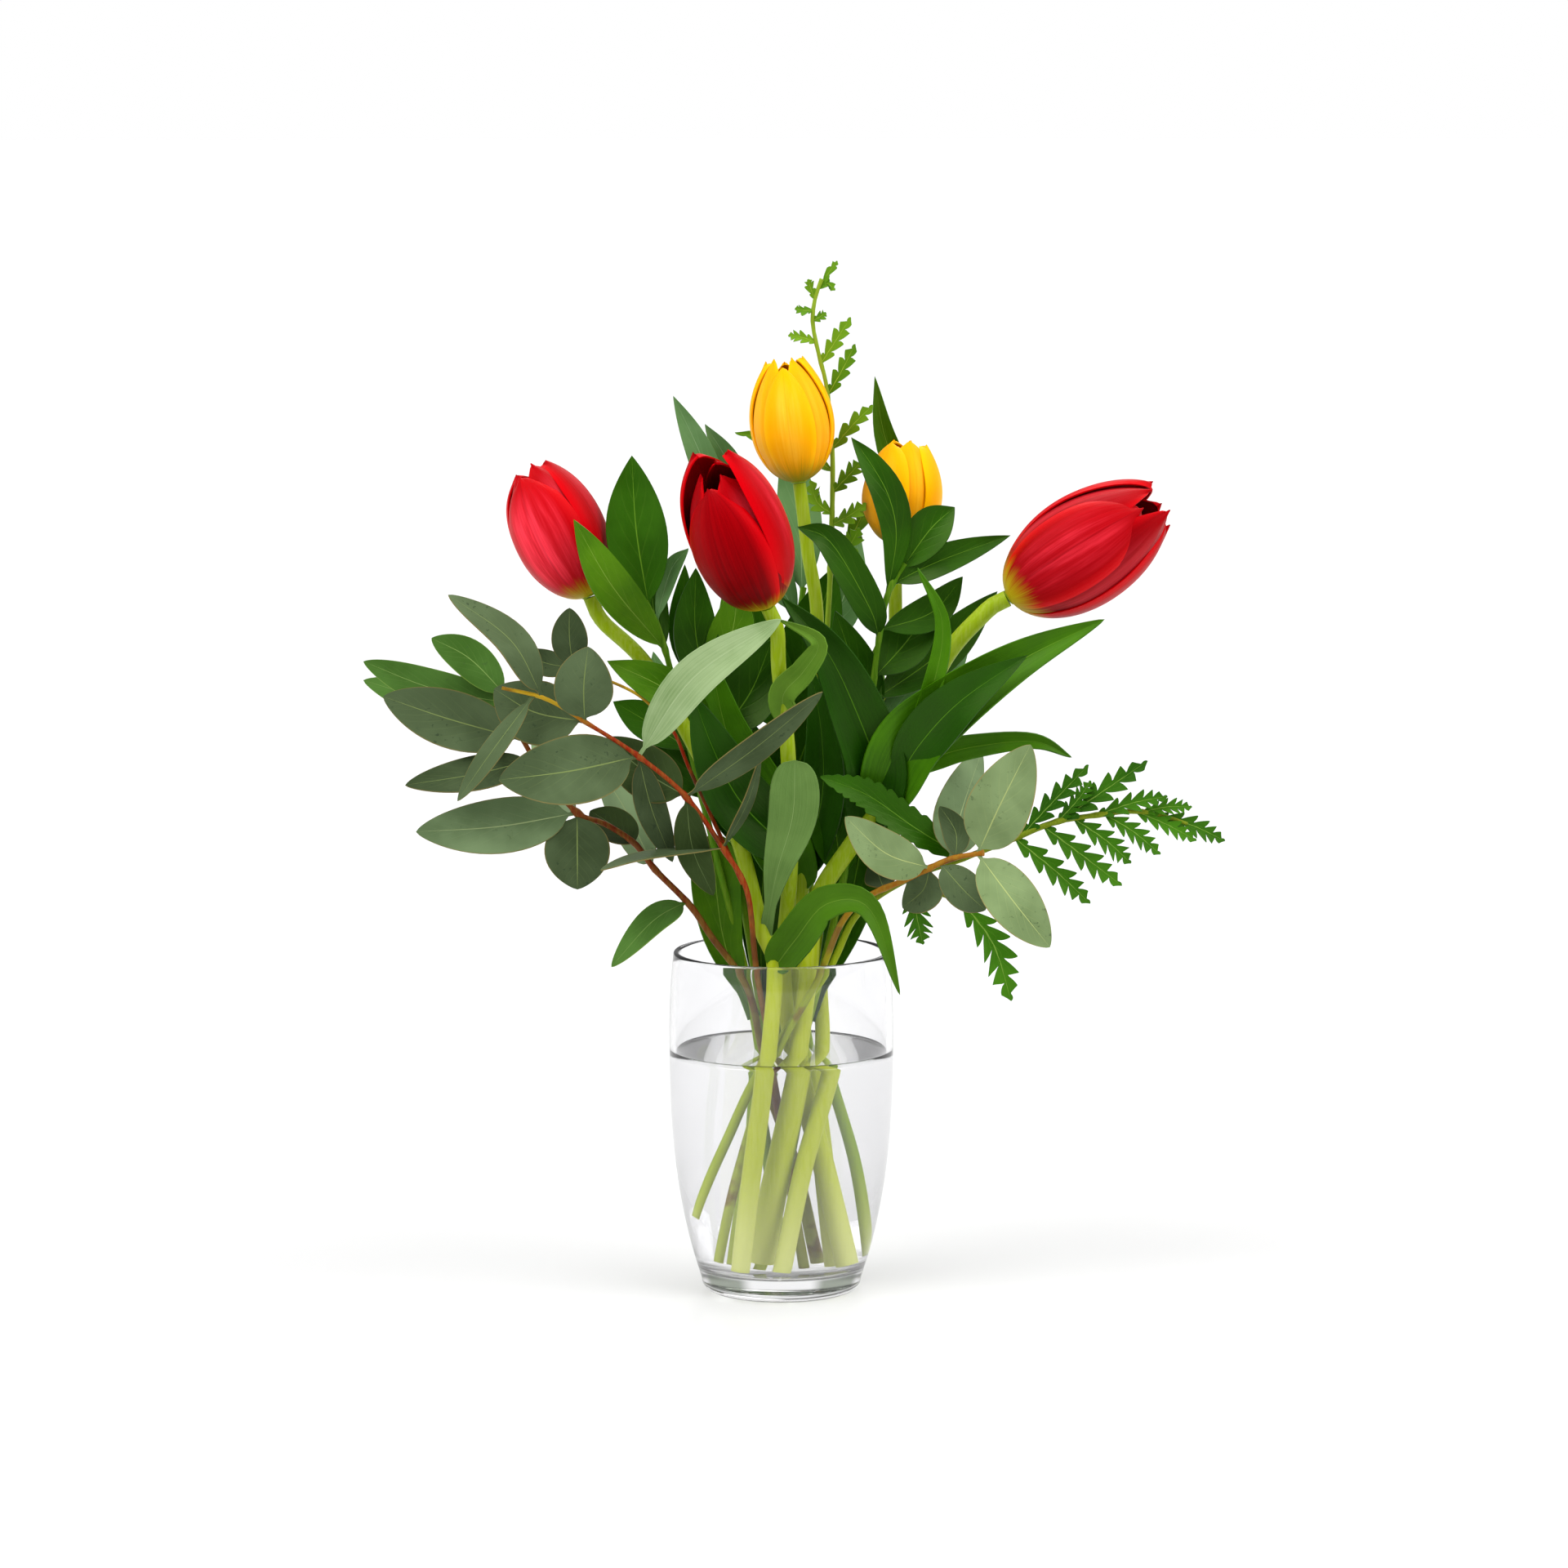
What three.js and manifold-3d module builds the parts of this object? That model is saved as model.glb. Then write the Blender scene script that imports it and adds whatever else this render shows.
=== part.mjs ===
// Tulips in a vase: three red and two yellow tulips with eucalyptus, broad-leaved greenery and
// fern, standing in a clear glass vase that is two thirds full of water.
// Units are millimetres and +Z is up. The origin is the centre of the vase's flat bottom, and -Y is
// the side that the bouquet shows.
import Module from "manifold-3d";
import * as THREE from "three";
import { mergeVertices } from "three/addons/utils/BufferGeometryUtils.js";

const wasm = await Module();
wasm.setup();

// ---------------------------------------------------------------- driving dimensions

const GAP = 0.3; // left between pieces that touch
const SLIVER = 0.13; // edges shorter than this are merged where leaves and petals are joined
const HOLE_SLIVER = 0.02; // finer in the water, so that the gap round each stem keeps its width

const VASE_HEIGHT = 154;
const BELLY_RADIUS = 50.2;
const BELLY_HEIGHT = 118;
const FOOT_DRAW_IN = 16.4; // how much narrower the barrel is at the foot than at the belly
const FOOT_CURVE = 2.65; // how late the barrel turns in towards the foot
const RIM_DRAW_IN = 2;
const HEEL_RADIUS = 3.5;
const LIP_RADIUS = 1.3;
const FOOT_WALL = 3.6; // thickness of the glass at the foot, from where it thins to the lip
const BASE_THICKNESS = 11;
const FLOOR_CORNER = 8;
const VASE_SEGMENTS = 30;

const WATER_LEVEL = 109;

const BLADE_THICKNESS = 1.2;
const PETAL_THICKNESS = 1.2;
const ROOT_DEPTH = 1.5; // how far inside a stem's end the topmost leaf is rooted
const WHORL_GAP = 2.6; // from the outer petals in to the inner ones
const RECEPTACLE_RADII = [3.5, 4.5]; // of the knob that the petals grow from, at its foot and top
const RECEPTACLE_HEIGHT = 3;

// ---------------------------------------------------------------- colours

const finish = (color, roughness, extra = {}) =>
  new THREE.MeshStandardMaterial({ color, roughness, metalness: 0, ...extra });

const GLASS = () => finish("#eef4f2", 0.05, { transparent: true, opacity: 0.3 });
const WATER = () => finish("#e4efe9", 0.05, { transparent: true, opacity: 0.35 });
const RED_PETAL = () => finish("#b80718", 0.45);
const YELLOW_PETAL = () => finish("#f5b301", 0.45);
const TULIP_GREEN = () => finish("#5f8f1d", 0.4);
const EUCALYPTUS_GREEN = () => finish("#6f8a72", 0.6);
const BROAD_GREEN = () => finish("#2c6a1c", 0.35);
const FERN_GREEN = () => finish("#47851f", 0.45);

// ---------------------------------------------------------------- solids

// A closed geometry as a solid: shared vertices merged, slivers dropped, faces outwards.
function solidOf(geometry) {
  geometry.deleteAttribute("normal");
  geometry.deleteAttribute("uv");
  const merged = mergeVertices(geometry, 1e-4);
  const points = merged.attributes.position.array;
  const triangles = [];
  let volume = 0;
  const [a, b, c] = [new THREE.Vector3(), new THREE.Vector3(), new THREE.Vector3()];
  for (let i = 0; i < merged.index.count; i += 3) {
    const [p, q, r] = [0, 1, 2].map((corner) => merged.index.getX(i + corner));
    if (p === q || q === r || r === p) continue;
    triangles.push(p, q, r);
    a.fromArray(points, p * 3);
    b.fromArray(points, q * 3);
    c.fromArray(points, r * 3);
    volume += a.dot(b.cross(c));
  }
  if (volume < 0) triangles.reverse();
  return new wasm.Manifold(
    new wasm.Mesh({
      numProp: 3,
      vertProperties: new Float32Array(points),
      triVerts: new Uint32Array(triangles),
    }),
  );
}

function geometryOf(solid) {
  const { vertProperties, triVerts } = solid.getMesh();
  const geometry = new THREE.BufferGeometry();
  geometry.setAttribute("position", new THREE.BufferAttribute(new Float32Array(vertProperties), 3));
  geometry.setIndex(new THREE.BufferAttribute(new Uint32Array(triVerts), 1));
  geometry.computeVertexNormals();
  return geometry;
}

// Solids joined into one, with the slivers that the cuts leave along a joint merged away.
const tidied = (solid, sliver) => solid.asOriginal().simplify(sliver);
const join = (solids) => tidied(solids.reduce((whole, solid) => whole.add(solid)), SLIVER);

// True where two solids come nearer than the gap that pieces keep.
function crowds(one, other) {
  const [p, q] = [one.boundingBox(), other.boundingBox()];
  for (let axis = 0; axis < 3; axis += 1) {
    if (p.min[axis] - GAP > q.max[axis] || q.min[axis] - GAP > p.max[axis]) return false;
  }
  return one.minGap(other, GAP * 2) < GAP;
}

// ---------------------------------------------------------------- curves and blades

const vector = (point) => new THREE.Vector3(...point);
const splineThrough = (points) => new THREE.CatmullRomCurve3(points, false, "catmullrom", 0.5);

// A closed thin sheet from rows of surface places, root to tip. place(row, column) gives a point and
// a normal, column running from -1 to 1. The edges and the tip are sharp, and both faces are split
// into triangles alike, so that a waved sheet never crosses itself.
function sheet(place, rows, columns, thickness) {
  const positions = [];
  const faces = [];
  const add = (point) => positions.push(point.x, point.y, point.z) / 3 - 1;
  const front = [];
  const back = [];
  for (let row = 0; row < rows; row += 1) {
    front.push([]);
    back.push([]);
    for (let column = 0; column <= columns; column += 1) {
      const { point, normal } = place(row, (2 * column) / columns - 1);
      const edge = column === 0 || column === columns;
      const half = edge ? 0 : thickness / 2;
      front[row].push(add(point.clone().addScaledVector(normal, half)));
      back[row].push(edge ? front[row][column] : add(point.clone().addScaledVector(normal, -half)));
    }
  }
  const tip = add(place(rows, 0).point);
  for (let column = 0; column < columns; column += 1) {
    for (let row = 0; row < rows - 1; row += 1) {
      const [f, g] = [front[row], front[row + 1]];
      const [b, d] = [back[row], back[row + 1]];
      faces.push(f[column], f[column + 1], g[column + 1], f[column], g[column + 1], g[column]);
      faces.push(b[column], d[column + 1], b[column + 1], b[column], d[column], d[column + 1]);
    }
    const [f, b] = [front[rows - 1], back[rows - 1]];
    faces.push(f[column], f[column + 1], tip, b[column], tip, b[column + 1]);
    const [top, under] = [front[0], back[0]];
    faces.push(top[column], under[column], under[column + 1]);
    faces.push(top[column], under[column + 1], top[column + 1]);
  }
  const geometry = new THREE.BufferGeometry();
  geometry.setAttribute("position", new THREE.Float32BufferAttribute(positions, 3));
  geometry.setIndex(faces);
  return solidOf(geometry);
}

// How each kind of leaf is cut: its width along the midrib is s^rise * (1 - s)^fall, widest where
// the two balance, fold lifts its edges, wave ruffles them, and teeth cut them.
const EUCALYPTUS = { rise: 0.55, fall: 0.75, rows: 5, columns: 2, fold: 0.12, wave: 0, stalk: 0.9 };
const BROAD = { rise: 0.8, fall: 1, rows: 6, columns: 2, fold: 0.28, wave: 0, stalk: 0.9 };
const TULIP = { rise: 0.35, fall: 0.85, rows: 7, columns: 4, fold: 0.5, wave: 0.06, stalk: 3 };
const SPOON = { rise: 1.3, fall: 0.4, rows: 7, columns: 4, fold: 0.3, wave: 0, stalk: 3 };
const SAW = { rise: 0.4, fall: 0.7, rows: 12, columns: 2, fold: 0.2, wave: 0, stalk: 0.9, teeth: 0.25 };
const PINNA = { rise: 0.4, fall: 0.6, rows: 8, columns: 2, fold: 0.15, wave: 0, stalk: 0.8, teeth: 0.62 };

const LEAFLET = { ...PINNA, rows: 6 };
const BUD_LEAF = { ...PINNA, rows: 4 };

const FACE_OUT = [0, -0.95, 0.3]; // the way most leaves look
const FACE_BACK = [0, 0.95, 0.3];

// A leaf: kind, greatest width, roll about its midrib in degrees, then its midrib from the root.
const leaf = (kind, width, roll, ...midrib) => ({ kind, width, roll, midrib, face: FACE_OUT });
const backLeaf = (kind, width, roll, ...midrib) => ({ kind, width, roll, midrib, face: FACE_BACK });

function outlineWidth(kind, s) {
  const widest = kind.rise / (kind.rise + kind.fall);
  const shape = (t) => t ** kind.rise * (1 - t) ** kind.fall;
  return shape(s) / shape(widest);
}

// The blade of a leaf whose root is at `root` and whose tip is bent `lean` deeper into the bouquet.
function bladeSolid({ kind, width, roll, midrib, face }, root, lean) {
  const last = midrib.length - 1;
  const bent = midrib.map(([x, y, z], i) => new THREE.Vector3(x, y + (lean * i) / last, z));
  bent[0] = root.clone();
  const curve = splineThrough(bent);
  const place = (row, across) => {
    const s = row / kind.rows;
    const along = curve.getTangent(s);
    const turn = THREE.MathUtils.degToRad(roll);
    const normal = vector(face);
    normal.addScaledVector(along, -normal.dot(along)).normalize().applyAxisAngle(along, turn);
    const side = along.clone().cross(normal);
    let half = Math.max(kind.stalk * (1 - s), (width / 2) * outlineWidth(kind, s));
    let sweep = 0;
    if (kind.teeth && across !== 0) {
      if (row % 2 === 1) half *= 1 - kind.teeth;
      else sweep = half * kind.teeth * Math.min(1, 2 * (1 - s));
    }
    const ruffle = kind.wave * width * Math.sin(9 * s + (across > 0 ? 1.5 : 0)) * Math.abs(across);
    const lift = kind.fold * half * Math.abs(across) ** 1.5 + ruffle * (1 - s);
    const point = curve.getPoint(s);
    point.addScaledVector(side, half * across).addScaledVector(normal, lift);
    point.addScaledVector(along, sweep * Math.abs(across));
    return { point, normal };
  };
  return sheet(place, kind.rows, kind.columns, BLADE_THICKNESS);
}

// A stem along a route, from its cut foot up, tapering from one radius to the other.
function stemSolid({ route, radii, sides, steps }) {
  const curve = splineThrough(route);
  const section = new THREE.Shape();
  for (let side = 0; side < sides; side += 1) {
    const angle = (2 * Math.PI * side) / sides;
    section[side === 0 ? "moveTo" : "lineTo"](Math.cos(angle), Math.sin(angle));
  }
  const options = { extrudePath: curve, steps, bevelEnabled: false };
  const geometry = new THREE.ExtrudeGeometry(section, options);
  const centres = curve.getSpacedPoints(steps);
  const positions = geometry.attributes.position;
  const point = new THREE.Vector3();
  for (let i = 0; i < positions.count; i += 1) {
    point.fromBufferAttribute(positions, i);
    const gaps = centres.map((centre) => centre.distanceToSquared(point));
    const nearest = gaps.indexOf(Math.min(...gaps));
    const radius = THREE.MathUtils.lerp(radii[0], radii[1], nearest / steps);
    point.sub(centres[nearest]).multiplyScalar(radius).add(centres[nearest]);
    positions.setXYZ(i, point.x, point.y, point.z);
  }
  return solidOf(geometry);
}

// The place on the middle line of a stem, short of its end, that lies nearest to a point.
function nearestOn({ route, steps }, point) {
  const centres = splineThrough(route).getSpacedPoints(steps);
  const tip = centres[steps];
  tip.add(centres[steps - 1].clone().sub(tip).setLength(ROOT_DEPTH));
  const spans = centres.slice(1).map((centre, i) => new THREE.Line3(centres[i], centre));
  const feet = spans.map((span) => span.closestPointToPoint(point, true, new THREE.Vector3()));
  return feet.sort((p, q) => p.distanceToSquared(point) - q.distanceToSquared(point))[0];
}

// ---------------------------------------------------------------- blooms

const PETAL_ROWS = 6;
const PETAL_COLUMNS = 4;
const PETAL_SPREAD = 58; // half the angle that a petal takes round the bloom, in degrees
const PETAL_SHOULDER = 3.2; // how late a petal narrows to its tip
const PETAL_POINT = 0.6; // how round its tip is
const PETAL_EDGE_DROP = 0.08; // how much lower its edges end than its middle, as a share of its height
const PETAL_ROOT = 0.004; // where it starts, as a share of the bloom's height
const SLOPE_STEP = 0.002; // the cup's slope is measured over this share to either side

// The cup's radius at a share s of its height, as a share of its greatest radius. A bud that closes
// more has narrower tips.
const cupRadius = (s, closing) => Math.sin(Math.PI * closing * s ** 0.75) ** 0.65;

function bloomSolid({ base, top, radius, closing, turn, lengths }) {
  const foot = vector(base);
  const axis = vector(top).sub(foot);
  const height = axis.length();
  axis.normalize();
  const front = vector([0, -1, 0]).addScaledVector(axis, axis.y).normalize();
  const side = axis.clone().cross(front);
  const petal = (index) => {
    const inner = index % 2;
    const reach = radius - inner * WHORL_GAP;
    const middle = THREE.MathUtils.degToRad(turn + 60 * index);
    const place = (row, across) => {
      const share = row / PETAL_ROWS;
      const s = Math.max(PETAL_ROOT, share / 2 + (1 - Math.cos(Math.PI * share)) / 4);
      const narrowing = Math.max(0, 1 - s ** PETAL_SHOULDER) ** PETAL_POINT;
      const angle = middle + THREE.MathUtils.degToRad(PETAL_SPREAD) * narrowing * across;
      const out = front.clone().multiplyScalar(Math.cos(angle)).addScaledVector(side, Math.sin(angle));
      const r = reach * cupRadius(s, closing);
      const [above, below] = [s + SLOPE_STEP, s - SLOPE_STEP].map((at) => cupRadius(at, closing));
      const slope = (reach * (above - below)) / (2 * SLOPE_STEP);
      const normal = out.clone().multiplyScalar(height).addScaledVector(axis, -slope).normalize();
      const rise = height * (s * lengths[index] - PETAL_EDGE_DROP * s ** 2 * across ** 2);
      const point = foot.clone().addScaledVector(axis, GAP + PETAL_THICKNESS / 2 + rise);
      point.addScaledVector(out, r);
      return { point, normal };
    };
    return sheet(place, PETAL_ROWS, PETAL_COLUMNS, PETAL_THICKNESS);
  };
  const [knobFoot, knobTop] = RECEPTACLE_RADII;
  const receptacle = new THREE.CylinderGeometry(knobTop, knobFoot, RECEPTACLE_HEIGHT, 8);
  receptacle.rotateX(Math.PI / 2);
  receptacle.applyQuaternion(new THREE.Quaternion().setFromUnitVectors(vector([0, 0, 1]), axis));
  const seat = foot.clone().addScaledVector(axis, GAP + RECEPTACLE_HEIGHT / 2);
  receptacle.translate(seat.x, seat.y, seat.z);
  return join([solidOf(receptacle), ...[0, 1, 2, 3, 4, 5].map(petal)]);
}

// ---------------------------------------------------------------- what each plant is made of

// The last stretch of a tulip's stem runs straight into its bloom.
const NECK = 12;
function neckTo({ base, top }) {
  const axis = vector(top).sub(vector(base)).normalize();
  return [vector(base).addScaledVector(axis, -NECK), vector(base)];
}

const blooms = {
  red_front: {
    base: [-6, -36, 312], top: [-31, -58, 380],
    radius: 22.5, closing: 0.88, turn: 20, lengths: [0.93, 0.96, 1, 1, 0.97, 1.01],
  },
  red_left: {
    base: [-84.5, -4, 313], top: [-112.5, 0, 369.5],
    radius: 21, closing: 0.89, turn: -15, lengths: [0.95, 1, 0.98, 0.96, 1, 1],
  },
  red_right: {
    base: [100, -9, 313], top: [171, -14, 353.5],
    radius: 23.8, closing: 0.87, turn: 10, lengths: [0.92, 0.97, 0.96, 1, 0.98, 0.96],
  },
  yellow_top: {
    base: [8, 15, 362], top: [1, 17, 417],
    radius: 19, closing: 0.84, turn: 0, lengths: [0.95, 1, 0.98, 0.98, 0.97, 1],
  },
  yellow_right: {
    base: [52, 36, 332], top: [55, 40, 378],
    radius: 18.5, closing: 0.83, turn: 40, lengths: [1, 0.98, 0.96, 1, 1, 0.97],
  },
};

const tulipStem = (bloom, radii, ...route) => ({
  radii, sides: 8, steps: 13, route: [...route.map(vector), ...neckTo(bloom)],
});
const twig = (radii, steps, ...route) => ({ radii, sides: 6, steps, route: route.map(vector) });

const plants = {
  red_front: {
    color: TULIP_GREEN,
    stems: [
      tulipStem(blooms.red_front, [3.6, 3.3], [22, 3, 14], [14, 1, 60], [5, -1, 107], [1, 0, 147],
        [4, -12, 194], [3, -21, 245], [-1, -30, 283]),
    ],
    leaves: [
      leaf(TULIP, 12, 0, [3, -24, 260], [1, -32, 273], [10, -38, 284], [16, -40, 297], [-1, -40, 307]),
      leaf(TULIP, 20, 0, [4, -13, 200], [-6, -9, 222], [-17, -7, 246], [-27, -8, 272]),
    ],
  },
  red_left: {
    color: TULIP_GREEN,
    stems: [
      tulipStem(blooms.red_left, [3.8, 3.3], [-16, -17, 13], [-11, -19, 60], [-6, -22, 107],
        [-3, -18, 149], [-9, -16, 167], [-20, -17, 209], [-39, -15, 249], [-60, -10, 284]),
    ],
    leaves: [
      leaf(TULIP, 18, 0, [-4, -19, 140], [3, -28, 160], [19, -40, 182], [39, -50, 180], [52, -62, 144]),
      leaf(SPOON, 22, 0, [-8, -16, 162], [-2, -27, 193], [5, -33, 219], [6, -33, 244]),
    ],
  },
  red_right: {
    color: TULIP_GREEN,
    stems: [
      tulipStem(blooms.red_right, [4.2, 3.8], [-8, -4, 18], [-1, -9, 60], [7, -13, 107],
        [12, -13, 146], [16, -10, 178], [32, -9, 204], [53, -9, 234], [70, -9, 282]),
    ],
    leaves: [
      leaf(TULIP, 27, 0, [38, -9, 212], [42, -12, 236], [32, -14, 266], [19, -17, 292], [0, -21, 315]),
      leaf(TULIP, 30, 0, [45, -9, 219], [55, -15, 246], [73, -20, 264], [105, -26, 287], [142, -30, 306]),
      leaf(BROAD, 23, 0, [50, -9, 229], [61, -16, 249], [79, -26, 270], [108, -33, 291]),
      leaf(TULIP, 9, 0, [53, -9, 234], [66, -20, 272], [71, -22, 303], [60, -22, 328]),
      leaf(TULIP, 12, 0, [53, -9, 234], [68, -2, 241], [85, -4, 246], [112, -8, 249], [129, -8, 242]),
    ],
  },
  eucalyptus_left_long: {
    color: EUCALYPTUS_GREEN,
    stems: [
      twig([2, 1], 16, [7, 10, 14], [2, -1, 60], [-4, -11, 107], [-11, -19, 148], [-15, -26, 184],
        [-25, -29, 203], [-42, -34, 228], [-63, -41, 247], [-85, -46, 262], [-103, -48, 273],
        [-122, -50, 278]),
      twig([1.3, 0.8], 7, [-17, -27, 188], [-31, -24, 218], [-41, -24, 240], [-48, -23, 256],
        [-62, -24, 271], [-80, -26, 280], [-93, -28, 285]),
    ],
    leaves: [
      leaf(EUCALYPTUS, 31, 0, [-63, -41, 247], [-92, -55, 242], [-123, -62, 239]),
      leaf(EUCALYPTUS, 19, 20, [-63, -41, 247], [-38, -62, 284], [0, -76, 311]),
      leaf(EUCALYPTUS, 26, 0, [-85, -46, 262], [-86, -56, 280], [-84, -58, 297]),
      leaf(EUCALYPTUS, 29, 0, [-85, -46, 262], [-108, -40, 266], [-126, -37, 276]),
      leaf(EUCALYPTUS, 18, 30, [-103, -48, 273], [-118, -52, 299], [-145, -52, 319]),
      leaf(EUCALYPTUS, 10, 10, [-109, -49, 274], [-127, -60, 250], [-141, -64, 230]),
      leaf(EUCALYPTUS, 16, 50, [-42, -34, 228], [-11, -50, 252], [18, -56, 277]),
      leaf(EUCALYPTUS, 24, 0, [-42, -34, 228], [-60, -27, 238], [-78, -20, 252]),
      leaf(EUCALYPTUS, 22, 70, [-25, -29, 203], [-59, -44, 202], [-79, -54, 198]),
      leaf(EUCALYPTUS, 8, 60, [-25, -29, 203], [-15, -38, 226], [-9, -42, 247]),
      leaf(EUCALYPTUS, 15, 0, [-42, -34, 228], [-39, -31, 204], [-30, -28, 183]),
      leaf(EUCALYPTUS, 14, 0, [-63, -41, 247], [-57, -33, 222], [-48, -28, 198]),
      leaf(EUCALYPTUS, 16, 0, [-93, -28, 285], [-93, -31, 298], [-93, -30, 311]),
      leaf(EUCALYPTUS, 12, 0, [-90, -28, 284], [-104, -24, 286], [-114, -22, 291]),
    ],
  },
  eucalyptus_left_low: {
    color: EUCALYPTUS_GREEN,
    stems: [
      twig([2, 1], 16, [10, 20, 16], [4, 12, 60], [-8, -3, 107], [-15, -14, 139], [-31, -12, 162],
        [-41, -14, 177], [-56, -17, 193], [-65, -19, 205], [-78, -21, 214], [-90, -23, 219],
        [-104, -26, 236], [-114, -28, 253], [-122, -29, 275]),
    ],
    leaves: [
      leaf(EUCALYPTUS, 14, 20, [-41, -14, 177], [-57, -26, 171], [-75, -34, 152]),
      leaf(EUCALYPTUS, 25, 0, [-90, -23, 219], [-125, -30, 214], [-161, -32, 212]),
      leaf(EUCALYPTUS, 29, 0, [-90, -23, 219], [-90, -30, 202], [-90, -30, 186]),
      leaf(EUCALYPTUS, 20, 30, [-65, -19, 205], [-75, -12, 212], [-85, -8, 218]),
      leaf(EUCALYPTUS, 26, 0, [-114, -28, 253], [-146, -32, 262], [-175, -32, 272]),
      leaf(EUCALYPTUS, 18, 20, [-108, -27, 243], [-135, -36, 238], [-165, -42, 234]),
      leaf(EUCALYPTUS, 17, 0, [-120, -29, 268], [-154, -18, 274], [-185, -10, 285]),
      leaf(EUCALYPTUS, 17, 0, [-122, -29, 275], [-137, -26, 288], [-154, -24, 297]),
      leaf(EUCALYPTUS, 18, 0, [-119, -29, 266], [-151, -6, 266], [-186, 4, 275]),
      backLeaf(EUCALYPTUS, 24, 0, [-56, -17, 193], [-70, 20, 215], [-84, 48, 232]),
      backLeaf(EUCALYPTUS, 22, 0, [-90, -23, 219], [-100, 10, 232], [-112, 34, 250]),
    ],
  },
  eucalyptus_right: {
    color: EUCALYPTUS_GREEN,
    stems: [
      twig([2, 1.1], 12, [-23, -7, 17], [-15, -10, 60], [-3, -16, 107], [16, -21, 144],
        [27, -14, 169], [39, -16, 181], [55, -21, 189], [74, -28, 199], [89, -34, 203]),
    ],
    leaves: [
      leaf(EUCALYPTUS, 28, 0, [89, -34, 203], [96, -46, 226], [109, -50, 253]),
      leaf(EUCALYPTUS, 23, 0, [89, -34, 203], [102, -46, 183], [118, -48, 163]),
      leaf(EUCALYPTUS, 20, 0, [65, -25, 194], [46, -36, 203], [28, -42, 220]),
      leaf(EUCALYPTUS, 17, 0, [70, -27, 197], [81, -36, 186], [90, -38, 178]),
      leaf(EUCALYPTUS, 20, 20, [65, -25, 194], [63, -18, 184], [54, -12, 175]),
      leaf(EUCALYPTUS, 12, 0, [77, -29, 199], [77, -25, 211], [70, -22, 222]),
      leaf(EUCALYPTUS, 14, 0, [46, -18, 185], [44, -6, 187], [41, 2, 194]),
      backLeaf(EUCALYPTUS, 24, 0, [74, -28, 199], [80, -8, 218], [90, 30, 240]),
    ],
  },
  yellow_right: {
    color: TULIP_GREEN,
    stems: [
      tulipStem(blooms.yellow_right, [3.5, 3], [0, -14, 13], [8, -12, 60], [18, -3, 107],
        [18, 15, 146], [27, 15, 190], [39, 18, 230], [50, 28, 273]),
    ],
    leaves: [
      backLeaf(TULIP, 26, 0, [29, 15, 194], [36, 44, 222], [40, 66, 250], [44, 78, 284]),
    ],
  },
  yellow_top: {
    color: TULIP_GREEN,
    stems: [
      tulipStem(blooms.yellow_top, [3.3, 2.9], [16, 13, 14], [13, 11, 60], [9, 12, 107], [7, 6, 145],
        [10, 9, 191], [14, 12, 249], [16, 15, 301], [12, 15, 330]),
    ],
    leaves: [
      leaf(TULIP, 28, 0, [10, 8, 180], [-10, 2, 221], [-24, 2, 251], [-32, 4, 287]),
      leaf(TULIP, 20, 0, [10, 9, 187], [20, 14, 222], [24, 20, 250], [24, 26, 280]),
    ],
  },
  fern_right: {
    color: FERN_GREEN,
    stems: [
      twig([2, 1], 16, [-33, -8, 36], [-20, -8, 70], [-5, -6, 107], [21, -6, 146], [34, -4, 171],
        [56, -6, 187], [80, -12, 197], [102, -14, 206], [121, -16, 214], [138, -16, 217],
        [156, -16, 219], [168, -15, 217], [180, -14, 213]),
      twig([1.3, 0.9], 4, [56, -6, 187], [70, -14, 182], [85, -20, 177]),
    ],
    leaves: [
      leaf(PINNA, 9, 0, [108, -15, 209], [121, -17, 224], [136, -18, 240]),
      leaf(PINNA, 10, 0, [122, -16, 214], [142, -19, 228], [162, -20, 242]),
      leaf(PINNA, 7, 0, [124, -16, 214], [131, -18, 224], [137, -19, 233]),
      leaf(PINNA, 8, 0, [140, -16, 217], [156, -18, 223], [171, -19, 226]),
      leaf(PINNA, 7, 0, [160, -16, 218], [171, -17, 221], [182, -17, 221]),
      leaf(PINNA, 10, 0, [104, -14, 207], [122, -18, 192], [137, -19, 178]),
      leaf(PINNA, 10, 0, [115, -15, 212], [134, -18, 199], [151, -19, 186]),
      leaf(PINNA, 9, 0, [130, -16, 215], [144, -18, 206], [155, -19, 196]),
      leaf(PINNA, 8, 0, [142, -16, 217], [156, -18, 210], [168, -19, 200]),
      leaf(PINNA, 8, 0, [157, -16, 218], [171, -17, 213], [184, -18, 206]),
      leaf(PINNA, 9, 0, [168, -15, 217], [183, -14, 212], [197, -12, 205]),
      leaf(PINNA, 16, 0, [80, -18, 178], [94, -22, 160], [102, -24, 135]),
      leaf(PINNA, 13, 0, [56, -8, 186], [60, -12, 172], [63, -12, 158]),
      leaf(SAW, 16, 0, [80, -12, 197], [59, -22, 212], [38, -29, 227], [17, -38, 236]),
    ],
  },
  broad_left: {
    color: BROAD_GREEN,
    stems: [
      twig([2.1, 1.2], 13, [0, 22, 18], [-4, 9, 60], [-10, 4, 107], [-16, 2, 144], [-28, -2, 193],
        [-42, -6, 252], [-51, -11, 289], [-55, -13, 302], [-60, -12, 312]),
    ],
    leaves: [
      leaf(BROAD, 27, 0, [-60, -12, 312], [-64, -9, 343], [-66, -5, 376]),
      leaf(BROAD, 18, 0, [-52, -12, 291], [-74, -28, 320], [-91, -30, 350]),
      leaf(BROAD, 8, 0, [-55, -13, 302], [-49, -8, 325], [-41, -6, 335]),
      leaf(BROAD, 13, 0, [-52, -12, 291], [-57, -2, 310], [-56, 2, 327]),
      leaf(BROAD, 17, 0, [-40, -7, 243], [-59, 4, 256], [-75, 8, 265]),
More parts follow.
